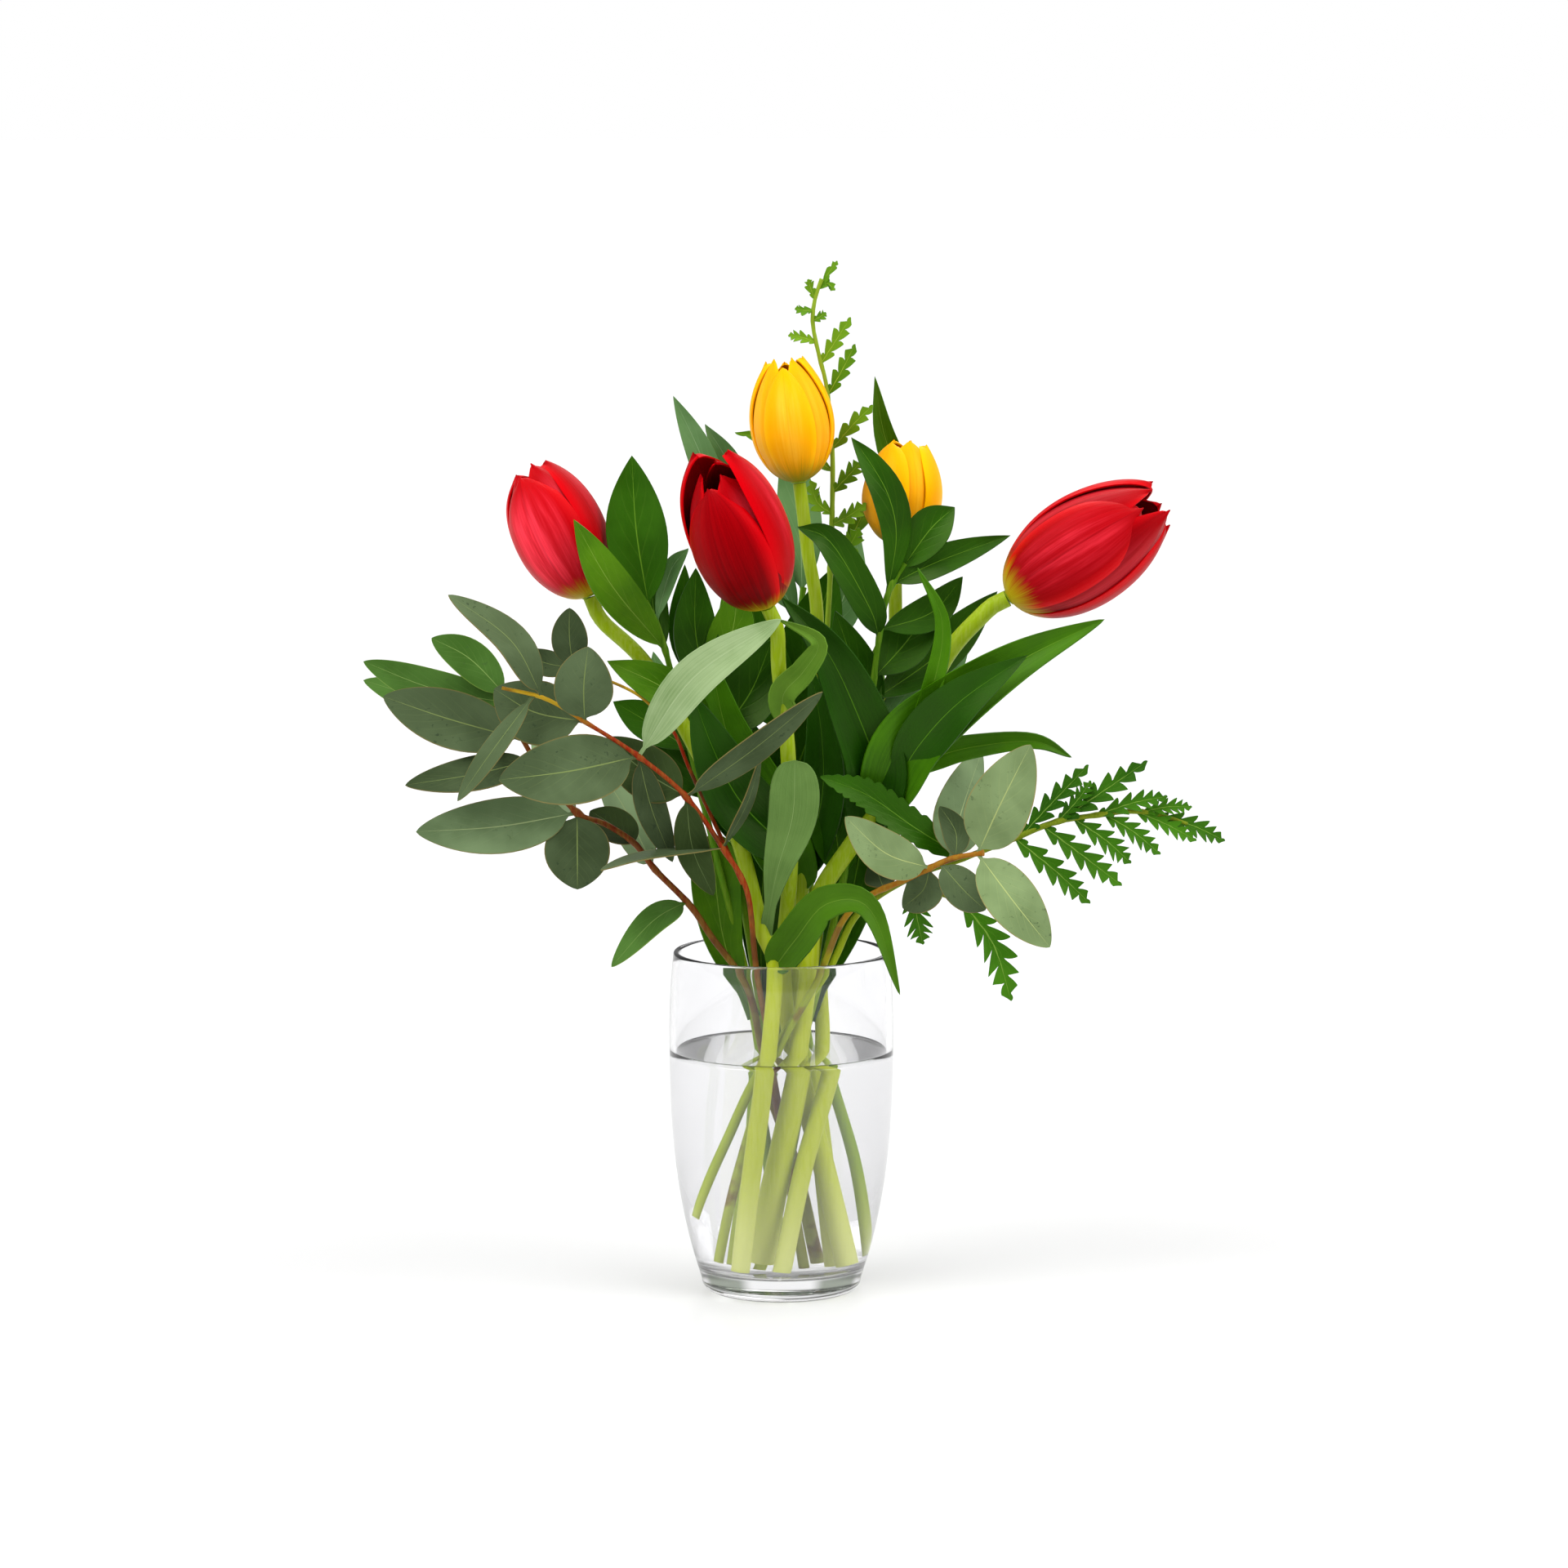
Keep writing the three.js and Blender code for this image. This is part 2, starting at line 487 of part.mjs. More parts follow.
      leaf(BROAD, 24, 0, [-35, -5, 222], [-44, 6, 242], [-50, 10, 268]),
      leaf(BROAD, 22, 0, [-17, 1, 150], [-26, 4, 172], [-30, 4, 200]),
      backLeaf(BROAD, 22, 0, [-36, -5, 225], [-50, 30, 250], [-58, 56, 282]),
    ],
  },
  broad_right: {
    color: BROAD_GREEN,
    stems: [
      twig([2.1, 1.2], 13, [-7, 6, 13], [2, 5, 60], [9, 6, 107], [18, -1, 144], [29, 3, 192],
        [38, 6, 239], [42, 8, 282], [47, 7, 312], [55, 7, 327]),
    ],
    leaves: [
      leaf(BROAD, 15, 0, [47, 7, 312], [51, 5, 338], [48, 4, 356], [40, 5, 371], [31, 8, 383]),
      leaf(BROAD, 19, 0, [55, 7, 327], [66, 6, 342], [77, 8, 352]),
      leaf(BROAD, 14, 0, [49, 7, 318], [70, 6, 328], [102, 12, 339]),
      leaf(BROAD, 15, 0, [44, 8, 294], [39, 2, 308], [22, -2, 337], [7, 0, 344]),
      leaf(BROAD, 16, 0, [45, 8, 298], [67, 16, 304], [81, 18, 320]),
      leaf(BROAD, 22, 0, [42, 8, 276], [56, 16, 291], [68, 20, 308]),
      leaf(BROAD, 20, 0, [41, 7, 265], [71, 24, 285], [97, 32, 312]),
      leaf(BROAD, 13, 0, [49, 7, 318], [39, 15, 359], [42, 18, 407]),
      leaf(BROAD, 24, 0, [28, 3, 185], [24, 6, 214], [26, 8, 246]),
      leaf(BROAD, 24, 0, [24, 1, 165], [34, 10, 185], [40, 14, 215]),
      leaf(BROAD, 22, 0, [39, 7, 250], [34, 14, 275], [24, 16, 305]),
      backLeaf(BROAD, 22, 0, [40, 7, 255], [68, 32, 270], [86, 52, 290]),
    ],
  },
  broad_middle: {
    color: BROAD_GREEN,
    stems: [
      twig([2.1, 1.2], 13, [-9, 18, 20], [-9, 17, 60], [-8, 16, 107], [-12, 9, 143], [-21, 8, 198],
        [-29, 8, 250], [-31, 9, 276], [-26, 12, 308], [-20, 16, 341]),
    ],
    leaves: [
      leaf(BROAD, 20, 0, [-30, 9, 265], [-38, 0, 295], [-38, -3, 325]),
      leaf(BROAD, 20, 0, [-31, 9, 274], [-22, 3, 296], [-19, 0, 319]),
      leaf(BROAD, 18, 0, [-29, 8, 250], [-50, -2, 274], [-77, -8, 285]),
      leaf(BROAD, 14, 0, [-30, 9, 265], [-43, 12, 294], [-43, 13, 326]),
      leaf(BROAD, 13, 0, [-22, 14, 330], [-34, 14, 370], [-48, 14, 401]),
      leaf(BROAD, 12, 0, [-20, 16, 341], [-22, 19, 366], [-34, 20, 388]),
      leaf(BROAD, 24, 0, [-21, 8, 200], [-22, 15, 228], [-24, 20, 262]),
      leaf(BROAD, 26, 0, [-29, 8, 250], [-14, 14, 268], [-4, 16, 292]),
      leaf(BROAD, 24, 0, [-13, 9, 150], [-10, 12, 180], [-6, 14, 215]),
    ],
  },
  fern_top: {
    color: FERN_GREEN,
    stems: [
      twig([2, 0.8], 18, [27, 10, 18], [22, 14, 60], [13, 16, 107], [10, 19, 145], [16, 28, 210],
        [20, 34, 284], [22, 34, 321], [23, 34, 365], [22, 33, 387], [20, 32, 405], [17, 31, 417],
        [14, 30, 432], [15, 29, 443], [18, 28, 452]),
    ],
    leaves: [
      leaf(BUD_LEAF, 4, 0, [18, 28, 452], [22, 28, 456], [25, 28, 460]),
      leaf(BUD_LEAF, 5, 0, [17, 28, 450], [20, 28, 450], [24, 27, 447]),
      leaf(BUD_LEAF, 5, 0, [15, 29, 445], [13, 28, 448], [12, 27, 452]),
      leaf(BUD_LEAF, 5, 0, [14, 29, 437], [10, 27, 438], [6, 26, 439]),
      leaf(BUD_LEAF, 5, 0, [14, 30, 432], [17, 28, 435], [20, 27, 437]),
      leaf(LEAFLET, 6, 0, [15, 30, 425], [9, 28, 426], [3, 27, 427]),
      leaf(LEAFLET, 8, 0, [17, 31, 414], [24, 29, 424], [31, 28, 435]),
      leaf(LEAFLET, 8, 0, [20, 32, 400], [27, 30, 411], [33, 29, 423]),
      leaf(LEAFLET, 8, 0, [22, 33, 378], [32, 28, 387], [41, 26, 396]),
      leaf(LEAFLET, 8, 0, [23, 34, 368], [5, 46, 376], [-21, 48, 382]),
      leaf(LEAFLET, 9, 0, [23, 34, 358], [30, 30, 364], [36, 28, 371]),
      leaf(LEAFLET, 9, 0, [22, 34, 340], [30, 28, 346], [38, 26, 352]),
      leaf(LEAFLET, 9, 0, [22, 34, 345], [16, 32, 352], [13, 31, 362]),
      leaf(LEAFLET, 10, 0, [22, 34, 322], [30, 28, 332], [35, 26, 341]),
      leaf(LEAFLET, 10, 0, [22, 34, 321], [32, 46, 336], [40, 56, 352]),
    ],
  },
  broad_back: {
    color: BROAD_GREEN,
    stems: [
      twig([2.1, 1.3], 9, [-16, 2, 16], [-10, 11, 60], [-2, 12, 107], [-2, 16, 145], [-2, 32, 210],
        [3, 48, 264], [10, 58, 311]),
    ],
    leaves: [
      backLeaf(BROAD, 24, 0, [-2, 32, 210], [-20, 60, 235], [-30, 88, 262]),
      backLeaf(BROAD, 24, 0, [0, 38, 230], [22, 66, 250], [34, 92, 270]),
      backLeaf(BROAD, 24, 0, [3, 48, 264], [-14, 72, 290], [-24, 90, 322]),
      backLeaf(BROAD, 22, 0, [5, 50, 275], [26, 72, 300], [36, 86, 332]),
      backLeaf(BROAD, 20, 0, [10, 58, 311], [8, 74, 342], [2, 82, 376]),
      backLeaf(BROAD, 18, 0, [8, 55, 298], [-8, 60, 325], [-16, 64, 352]),
      leaf(BROAD, 30, 0, [-2, 24, 180], [-7, 28, 214], [-12, 30, 252]),
      leaf(BROAD, 28, 0, [-2, 32, 210], [12, 34, 246], [20, 36, 284]),
      leaf(BROAD, 26, 0, [0, 42, 245], [-8, 40, 275], [-14, 38, 310]),
      leaf(BROAD, 26, 0, [3, 48, 264], [14, 46, 290], [24, 44, 322]),
    ],
  },
};

// ---------------------------------------------------------------- vase and water

function glassRadius(z) {
  if (z >= BELLY_HEIGHT) {
    const share = (z - BELLY_HEIGHT) / (VASE_HEIGHT - BELLY_HEIGHT);
    return BELLY_RADIUS - RIM_DRAW_IN * share ** 2;
  }
  return BELLY_RADIUS - FOOT_DRAW_IN * ((BELLY_HEIGHT - z) / BELLY_HEIGHT) ** FOOT_CURVE;
}

// The wall is thinner at the rim than at the foot.
const wallThickness = (z) => THREE.MathUtils.lerp(FOOT_WALL, 2 * LIP_RADIUS, z / VASE_HEIGHT);
const boreRadius = (z) => glassRadius(z) - wallThickness(z);

const evenly = (from, to, count) =>
  Array.from({ length: count + 1 }, (_, i) => THREE.MathUtils.lerp(from, to, i / count));

// Places on a quarter circle in the profile plane, radius across and height up.
const arc = (x, z, radius, from, to, count) =>
  evenly(from, to, count).map((degrees) => {
    const angle = THREE.MathUtils.degToRad(degrees);
    return new THREE.Vector2(x + radius * Math.cos(angle), z + radius * Math.sin(angle));
  });

function turned(profile) {
  const geometry = new THREE.LatheGeometry(profile, VASE_SEGMENTS);
  return solidOf(geometry.rotateX(Math.PI / 2));
}

const cornerTop = BASE_THICKNESS + FLOOR_CORNER;
const corner = (inset) =>
  arc(boreRadius(cornerTop) - FLOOR_CORNER, cornerTop, FLOOR_CORNER - inset, -90, 0, 3);
const wall = (inset, from, to, count) =>
  evenly(from, to, count).slice(1).map((z) => new THREE.Vector2(boreRadius(z) - inset, z));
// The inside of the glass from its floor to the water's level, drawn in by `inset` all round.
const wetBore = (inset) => [...corner(inset), ...wall(inset, cornerTop, WATER_LEVEL, 3)];

function vaseSolid() {
  const heel = arc(glassRadius(HEEL_RADIUS) - HEEL_RADIUS, HEEL_RADIUS, HEEL_RADIUS, -90, 0, 2);
  const lipHeight = VASE_HEIGHT - LIP_RADIUS;
  const outside = evenly(HEEL_RADIUS, lipHeight, 7).slice(1, -1);
  const lip = arc(glassRadius(lipHeight) - LIP_RADIUS, lipHeight, LIP_RADIUS, 0, 180, 4);
  return turned([
    new THREE.Vector2(0, 0),
    ...heel,
    ...outside.map((z) => new THREE.Vector2(glassRadius(z), z)),
    ...lip,
    ...wall(0, WATER_LEVEL, lipHeight, 2).slice(0, -1).reverse(),
    ...wetBore(0).reverse(),
    new THREE.Vector2(0, BASE_THICKNESS),
  ]);
}

// The water fills the glass up to its level and has a plain hole for every stem.
function waterSolid(stems) {
  const bottom = new THREE.Vector2(0, BASE_THICKNESS + GAP);
  const surface = new THREE.Vector2(0, WATER_LEVEL);
  const body = turned([bottom, ...wetBore(GAP), surface]);
  const holed = stems.reduce((water, { route, radii, sides, steps }) => {
    const foot = route[0].clone().add(route[0].clone().sub(route[1]).normalize().multiplyScalar(GAP));
    const wider = radii.map((radius) => radius + GAP / Math.cos(Math.PI / sides));
    const hole = stemSolid({ route: [foot, ...route.slice(1)], radii: wider, sides, steps });
    return water.subtract(hole);
  }, body);
  return tidied(holed, HOLE_SLIVER);
}

// ---------------------------------------------------------------- the bouquet

// How far a leaf may be bent in depth to clear what stands before it in the bouquet.
const LEANS = [0, 3, -3, 6, -6, 10, -10, 14, -14];

// The blade of a leaf, bent by the least lean that clears every one of the other pieces.
function clearBlade(blade, root, others) {
  for (const lean of LEANS) {
    const solid = bladeSolid(blade, root, lean);
    if (!others.some((piece) => crowds(solid, piece.solid))) return solid;
  }
  throw new Error(`no clear place for the leaf that grows at ${blade.midrib[0]}`);
}

const tulips = new THREE.Group();
function addPiece(name, solid, material) {
  const mesh = new THREE.Mesh(geometryOf(solid), material());
  mesh.name = name;
  tulips.add(mesh);
}

const vase = vaseSolid();
addPiece("vase", vase, GLASS);

const allStems = Object.values(plants).flatMap((plant) => plant.stems);
addPiece("water", waterSolid(allStems), WATER);

// Stems and blooms are set first, and each leaf is then bent clear of every other piece.
const settled = [{ owner: "vase", solid: vase }];
for (const [owner, bloom] of Object.entries(blooms)) {
  const solid = bloomSolid(bloom);
  settled.push({ owner: `${owner}_bloom`, solid });
  addPiece(`${owner}_bloom`, solid, owner.startsWith("red") ? RED_PETAL : YELLOW_PETAL);
}
for (const [owner, plant] of Object.entries(plants)) {
  for (const stem of plant.stems) settled.push({ owner, solid: stemSolid(stem) });
}

for (const [owner, plant] of Object.entries(plants)) {
  for (const blade of plant.leaves) {
    const start = vector(blade.midrib[0]);
    const roots = plant.stems.map((stem) => nearestOn(stem, start));
    roots.sort((p, q) => p.distanceToSquared(start) - q.distanceToSquared(start));
    const others = settled.filter((piece) => piece.owner !== owner);
    settled.push({ owner, solid: clearBlade(blade, roots[0], others) });
  }
  const pieces = settled.filter((piece) => piece.owner === owner).map((piece) => piece.solid);
  const name = owner in blooms ? `${owner}_stem` : owner;
  addPiece(name, join(pieces), plant.color);
}

export default tulips;
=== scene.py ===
# %% [markdown]
# # Tulips in a vase
# Three red and two yellow tulips stand in a clear glass vase with eucalyptus, dark broad-leaved
# greenery and fern. The solids of the object are already there as a frame: they fix how large each
# stem, leaf and bloom is and where it stands. This script replaces them one by one with finer pieces
# of the same form, and gives every piece its finish.

# %% Load the frame
import math
import random

import bpy
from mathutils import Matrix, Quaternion, Vector


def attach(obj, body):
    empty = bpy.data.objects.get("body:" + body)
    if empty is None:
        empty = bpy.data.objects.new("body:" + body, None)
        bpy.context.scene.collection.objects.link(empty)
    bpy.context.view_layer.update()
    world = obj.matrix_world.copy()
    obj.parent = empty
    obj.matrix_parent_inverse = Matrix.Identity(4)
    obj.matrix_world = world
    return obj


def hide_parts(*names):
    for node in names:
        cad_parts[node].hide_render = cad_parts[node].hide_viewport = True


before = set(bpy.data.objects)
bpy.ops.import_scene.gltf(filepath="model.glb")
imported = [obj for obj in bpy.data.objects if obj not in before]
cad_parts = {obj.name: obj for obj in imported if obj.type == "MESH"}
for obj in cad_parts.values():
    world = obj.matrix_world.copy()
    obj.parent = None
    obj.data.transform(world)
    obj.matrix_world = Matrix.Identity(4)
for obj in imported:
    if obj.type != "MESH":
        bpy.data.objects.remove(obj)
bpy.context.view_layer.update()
MM = 0.001

# %% [markdown]
# ## The camera
# The ellipses of the vase's rim, of the water line and of the foot become rounder from the top down,
# and how fast they do says where the camera stood: almost three metres away with a long lens, looking
# down by 7.6 degrees. A long lens keeps the bouquet free of perspective, as in a catalogue picture.

# %% Place the camera
LENS, SENSOR = 150, 36
AIM = Vector((1.2, 0, 229)) * MM
DISTANCE = 2.909
LOOK_DOWN = math.radians(7.6)

bpy.ops.object.camera_add(
    location=AIM + DISTANCE * Vector((0, -math.cos(LOOK_DOWN), math.sin(LOOK_DOWN))),
    rotation=(math.radians(90) - LOOK_DOWN, 0, 0),
)
camera = bpy.context.object
camera.name = "camera"
camera.data.lens = LENS
camera.data.sensor_width = SENSOR
camera.data.sensor_fit = "HORIZONTAL"
camera.data.clip_end = 50
bpy.context.scene.camera = camera

# %% [markdown]
# ## Picking up one piece at a time
# Operators act on whatever is selected, and loading the frame leaves its solids selected. So each
# piece is picked up alone before anything is done to it.


# %% Helpers for one piece at a time
def deselect():
    bpy.ops.object.select_all(action="DESELECT")


def pick(piece):
    deselect()
    piece.select_set(True)
    bpy.context.view_layer.objects.active = piece


def in_edit(piece, *operations):
    """Runs edit-mode operations, one after the other, on all of a piece."""
    pick(piece)
    bpy.ops.object.mode_set(mode="EDIT")
    bpy.ops.mesh.select_all(action="SELECT")
    for operation in operations:
        operation()
    bpy.ops.object.mode_set(mode="OBJECT")


def weld():
    bpy.ops.mesh.remove_doubles(threshold=0.01 * MM)


def face_outwards():
    bpy.ops.mesh.normals_make_consistent(inside=False)


def thicken(piece, thickness, back_slot=0):
    """Makes a closed blade of a sheet, with another material on its back if a slot is given."""
    in_edit(piece, weld)
    made = piece.modifiers.new("thickness", "SOLIDIFY")
    made.thickness = thickness * MM
    made.offset = 0
    made.material_offset = back_slot
    bpy.ops.object.modifier_apply(modifier=made.name)
    bpy.ops.object.shade_smooth_by_angle(angle=math.radians(60))


def stand_for(piece, node):
    """Names a finished piece, hides the plain solid that it stands for, and fixes it to the object."""
    piece.name = piece.data.name = f"{node}_fine"
    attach(piece, "root")
    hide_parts(node)
    print(f"{piece.name}: {len(piece.data.polygons)} faces")


# %% [markdown]
# ## Materials: small tools
# A finish is a graph of nodes. A few short helpers keep such a graph readable: one adds a node and
# wires what is given to it, and one turns a colour as it is seen on a screen into the linear value
# that light works with.


# %% Helpers for materials
def colour(code):
    """A screen colour such as 4a7a20 as linear red, green, blue and alpha."""
    parts = [int(code[i : i + 2], 16) / 255 for i in (0, 2, 4)]
    return (*[p / 12.92 if p <= 0.04045 else ((p + 0.055) / 1.055) ** 2.4 for p in parts], 1)


def node(tree, kind, inputs=None, **settings):
    """Adds a node. Of its inputs, a socket is wired, a colour's code is read, and a value is set."""
    made = tree.nodes.new("ShaderNode" + kind)
    for name, value in settings.items():
        setattr(made, name, value)
    for name, value in (inputs or {}).items():
        if isinstance(value, bpy.types.NodeSocket):
            tree.links.new(value, made.inputs[name])
        else:
            made.inputs[name].default_value = colour(value) if isinstance(value, str) else value
    return made


def maths(tree, operation, first, second=0.0):
    return node(tree, "Math", {0: first, 1: second}, operation=operation).outputs[0]


def times(tree, first, second):
    return maths(tree, "MULTIPLY", first, second)


def spread(tree, value, low, high, to_low=0.0, to_high=1.0):
    """A value between low and high, smoothly spread out over another range."""
    inputs = {"Value": value, "From Min": low, "From Max": high, "To Min": to_low, "To Max": to_high}
    return node(tree, "MapRange", inputs, interpolation_type="SMOOTHSTEP").outputs[0]


def blend(tree, share, first, second):
    """Mixes two colours, each a socket or a code."""
    return node(tree, "Mix", {0: share, 6: first, 7: second}, data_type="RGBA").outputs[2]


def bumpy(tree, height, strength, depth):
    """A surface that follows a height between 0 and 1, up to a depth in millimetres."""
    inputs = {"Height": height, "Strength": strength, "Distance": depth * MM}
    return node(tree, "Bump", inputs).outputs[0]


def new_material(name):
    """A new material and its empty node tree."""
    material = bpy.data.materials.new(name)
    material.use_nodes = True
    material.node_tree.nodes.clear()
    return material, material.node_tree


def dress(tree, inputs):
    """Gives a material its one shader, with its inputs wired or set."""
    shader = node(tree, "BsdfPrincipled", inputs)
    node(tree, "OutputMaterial", {"Surface": shader.outputs[0]})


def new_effect(name, inputs, outputs):
    """An empty shader group with number sockets: its tree, its inputs and its output node."""
    tree = bpy.data.node_groups.new(name, "ShaderNodeTree")
    for way, sockets in (("INPUT", inputs), ("OUTPUT", outputs)):
        for socket in sockets:
            tree.interface.new_socket(socket, in_out=way, socket_type="NodeSocketFloat")
    return tree, tree.nodes.new("NodeGroupInput").outputs, tree.nodes.new("NodeGroupOutput").inputs


def effect(tree, group, inputs):
    """Places a shader group in a material, wires it, and gives its outputs."""
    return node(tree, "Group", inputs, node_tree=group).outputs


# %% [markdown]
# ## Effects that plants share
# Every blade here is unrolled on its own UV map: U runs across it from edge to edge, and V from the
# root to the tip. So a pattern drawn in U and V follows the blade however it bends. Three effects do
# most of the work: the net of veins of a broad leaf, the fine streaks that run along a petal or a
# tulip's leaf, and an uneven tone in the flesh. A blade's own tone, a number from 0 to 1, moves its
# streaks far from those of its neighbours.

# %% The veins of a broad leaf
vein_net, given, result = new_effect(
    "leaf veins", ["Across", "Along", "Pairs", "Slant", "Width"], ["Midrib", "Veins"]
)
off_centre = maths(vein_net, "SUBTRACT", times(vein_net, given["Across"], 2), 1)
from_middle = maths(vein_net, "ABSOLUTE", off_centre)
rib_width = times(vein_net, given["Width"], spread(vein_net, given["Along"], 0, 1, 1, 0.35))
midrib = maths(vein_net, "SUBTRACT", 1, maths(vein_net, "DIVIDE", from_middle, rib_width))
vein_net.links.new(spread(vein_net, midrib, 0, 0.7), result["Midrib"])
climb = times(vein_net, given["Along"], given["Pairs"])
course = maths(vein_net, "SUBTRACT", climb, times(vein_net, from_middle, given["Slant"]))
off_vein = maths(vein_net, "PINGPONG", course, 0.5)
fading = spread(vein_net, from_middle, 0.05, 0.95, 1, 0.15)
side_veins = times(vein_net, spread(vein_net, off_vein, 0, 0.1, 1, 0), fading)
vein_net.links.new(side_veins, result["Veins"])

# %% Streaks along a blade
TONES_APART = 37

streaks, given, result = new_effect(
    "streaks", ["Across", "Along", "Tone", "Count", "Length"], ["Streak"]
)
x = times(streaks, given["Across"], given["Count"])
y = times(streaks, given["Along"], given["Length"])
z = times(streaks, given["Tone"], TONES_APART)
where = node(streaks, "CombineXYZ", {"X": x, "Y": y, "Z": z}).outputs[0]
lines = node(streaks, "TexNoise", {"Vector": where, "Scale": 1, "Detail": 4, "Roughness": 0.6})
streaks.links.new(spread(streaks, lines.outputs["Fac"], 0.32, 0.68), result["Streak"])

# %% Uneven tone
mottle, given, result = new_effect("uneven tone", ["Scale", "Low", "High"], ["Mask"])
places = node(mottle, "TexCoord").outputs["Object"]
cloud = node(mottle, "TexNoise", {"Vector": places, "Scale": given["Scale"], "Detail": 3})
mask = spread(mottle, cloud.outputs["Fac"], given["Low"], given["High"])
mottle.links.new(mask, result["Mask"])


def patchy(tree, scale, low, high):
    return effect(tree, mottle, {"Scale": scale, "Low": low, "High": high})["Mask"]


# %% [markdown]
# ## The finish of a leaf
# The four families of leaf differ in colour, shine and veins, but are built alike. A tulip's leaf has
# fine lines that run its whole length. Eucalyptus, the gum tree, has a pale waxy bloom over
# grey-green, with dark specks and a thin reddish edge. The broad leaves are deep green and glossy
# with a light rib and side veins. A fern's leaflet is plain with a thin rib. The back of each is
# paler and duller. Every leaf shines yellow-green, as light that has grazed a waxy skin does.

# %% Leaf materials
LEAF_GLINT = (0.75, 1, 0.35, 1)
SPECK = "2f3d2c"
BLADE_LINES = {"Count": 34, "Length": 1.6}


def unrolled(tree):
    """The UV map and the tone of a blade, as a group's inputs, and how far a place is from the rib."""
    uv = node(tree, "SeparateXYZ", {0: node(tree, "UVMap", uv_map="UVMap").outputs[0]}).outputs
    tone = node(tree, "Attribute", attribute_name="tone").outputs["Fac"]
    from_rib = maths(tree, "ABSOLUTE", maths(tree, "SUBTRACT", uv["X"], 0.5))
    return {"Across": uv["X"], "Along": uv["Y"]}, tone, from_rib


def leaf_material(
    name, deep, light, rib, rough, shine, rib_width, pairs=9, slant=1.6, vein=0.0, streak=0.0,
    specks=0.0, edge=None, relief=0.3,
):
    material, tree = new_material(name)
    blade, tone, from_rib = unrolled(tree)
    veins = effect(tree, vein_net, {**blade, "Pairs": pairs, "Slant": slant, "Width": rib_width})
    lines = effect(tree, streaks, {**blade, "Tone": tone, **BLADE_LINES})["Streak"]
    flesh = patchy(tree, 38, 0.35, 0.7)
    fresh = maths(tree, "ADD", times(tree, flesh, 0.45), times(tree, tone, 0.55))
    tint = blend(tree, fresh, deep, light)
    if streak:
        tint = blend(tree, times(tree, lines, streak), tint, light)
    tint = blend(tree, times(tree, veins["Veins"], vein), tint, rib)
    if specks:
        spots = patchy(tree, 520, 0.6, 0.68)
        patches = patchy(tree, 90, 0.45, 0.65)
        tint = blend(tree, times(tree, times(tree, spots, patches), specks), tint, SPECK)
    tint = blend(tree, veins["Midrib"], tint, rib)
    if edge:
        tint = blend(tree, spread(tree, from_rib, 0.475, 0.5, 0, 0.7), tint, edge)
    height = maths(tree, "ADD", times(tree, veins["Veins"], -0.5), veins["Midrib"])
    height = maths(tree, "ADD", height, times(tree, lines, streak))
    dress(tree, {
        "Base Color": tint,
        "Roughness": spread(tree, flesh, 0, 1, rough, rough + 0.14),
        "Specular IOR Level": shine,
        "Specular Tint": LEAF_GLINT,
        "Normal": bumpy(tree, height, relief, 0.3),
    })
    return material


def tulip_leaf(*look):
    return leaf_material(*look, rib_width=0.03, streak=0.4)


def gum_leaf(name, deep, light, rib, edge, vein, specks):
    return leaf_material(
        name, deep, light, rib, 0.55, 0.15, pairs=12, slant=3.2, rib_width=0.04, vein=vein,
        specks=specks, edge=edge,
    )


def broad_leaf(name, deep, light, rib, rough, shine, vein, streak):
    return leaf_material(
        name, deep, light, rib, rough, shine, pairs=8, slant=2.4, rib_width=0.045, vein=vein,
        streak=streak, relief=0.5,
    )


def fern_leaf(*look):
    return leaf_material(*look, pairs=10, slant=2, rib_width=0.1, vein=0.2, relief=0.5)


leaf_finishes = {
    "tulip": tulip_leaf("tulip leaf", "1c4a00", "467c04", "7aa034", 0.4, 0.25),
    # Painted shade: a copy of the tulip leaf in darker greens, for leaves that are to look shaded.
    "tulip_dark": tulip_leaf("dark tulip leaf", "082c00", "1c4c00", "4e8016", 0.38, 0.25),
    "tulip_under": tulip_leaf("tulip leaf back", "3a640e", "648a2c", "84a44a", 0.5, 0.15),
    "tulip_mid": tulip_leaf("green tulip leaf", "284c04", "44700e", "6c8f2c", 0.45, 0.2),
    "tulip_waxy": tulip_leaf("waxy tulip leaf", "3f5c26", "6a8a48", "809a5c", 0.5, 0.15),
    "tulip_silver": tulip_leaf("silvery tulip leaf", "7a965e", "b4ca98", "b0c494", 0.5, 0.15),
    "gum": gum_leaf("eucalyptus leaf", "2f3c25", "5a6b4b", "76864e", "7c6c3c", 0.12, 0.8),
    "gum_under": gum_leaf("eucalyptus leaf back", "566a48", "8aa276", "96a674", "7c6c3c", 0.1, 0.3),
    "gum_young": gum_leaf("young eucalyptus leaf", "2a4c12", "507834", "7a9650", "74903c", 0.14, 0.3),
    "gum_pale": gum_leaf("pale eucalyptus leaf", "5e7248", "90a674", "a8b472", "96804c", 0.14, 0.5),
    "gum_dusky": gum_leaf("dusky eucalyptus leaf", "1e2c12", "42542e", "66784a", "6a5a34", 0.12, 0.5),
    "broad": broad_leaf("broad leaf", "113800", "2c6000", "5c8820", 0.38, 0.25, 0.14, 0.15),
    "broad_under": broad_leaf("broad leaf back", "38602a", "668c58", "88a876", 0.5, 0.15, 0.2, 0),
    # Painted light: a copy of the broad leaf in lighter greens, for leaves that are to look lit.
    "broad_light": broad_leaf("light broad leaf", "305e04", "5c8c10", "7ea23c", 0.4, 0.2, 0.16, 0.15),
    "fern": fern_leaf("fern leaflet", "1a4c04", "3f7810", "729838", 0.42, 0.2),
    "fern_under": fern_leaf("fern leaflet back", "335e1a", "567e2e", "7c9c4c", 0.55, 0.15),
    "fern_young": fern_leaf("young fern leaflet", "44780e", "7aa41e", "96b438", 0.45, 0.2),
}


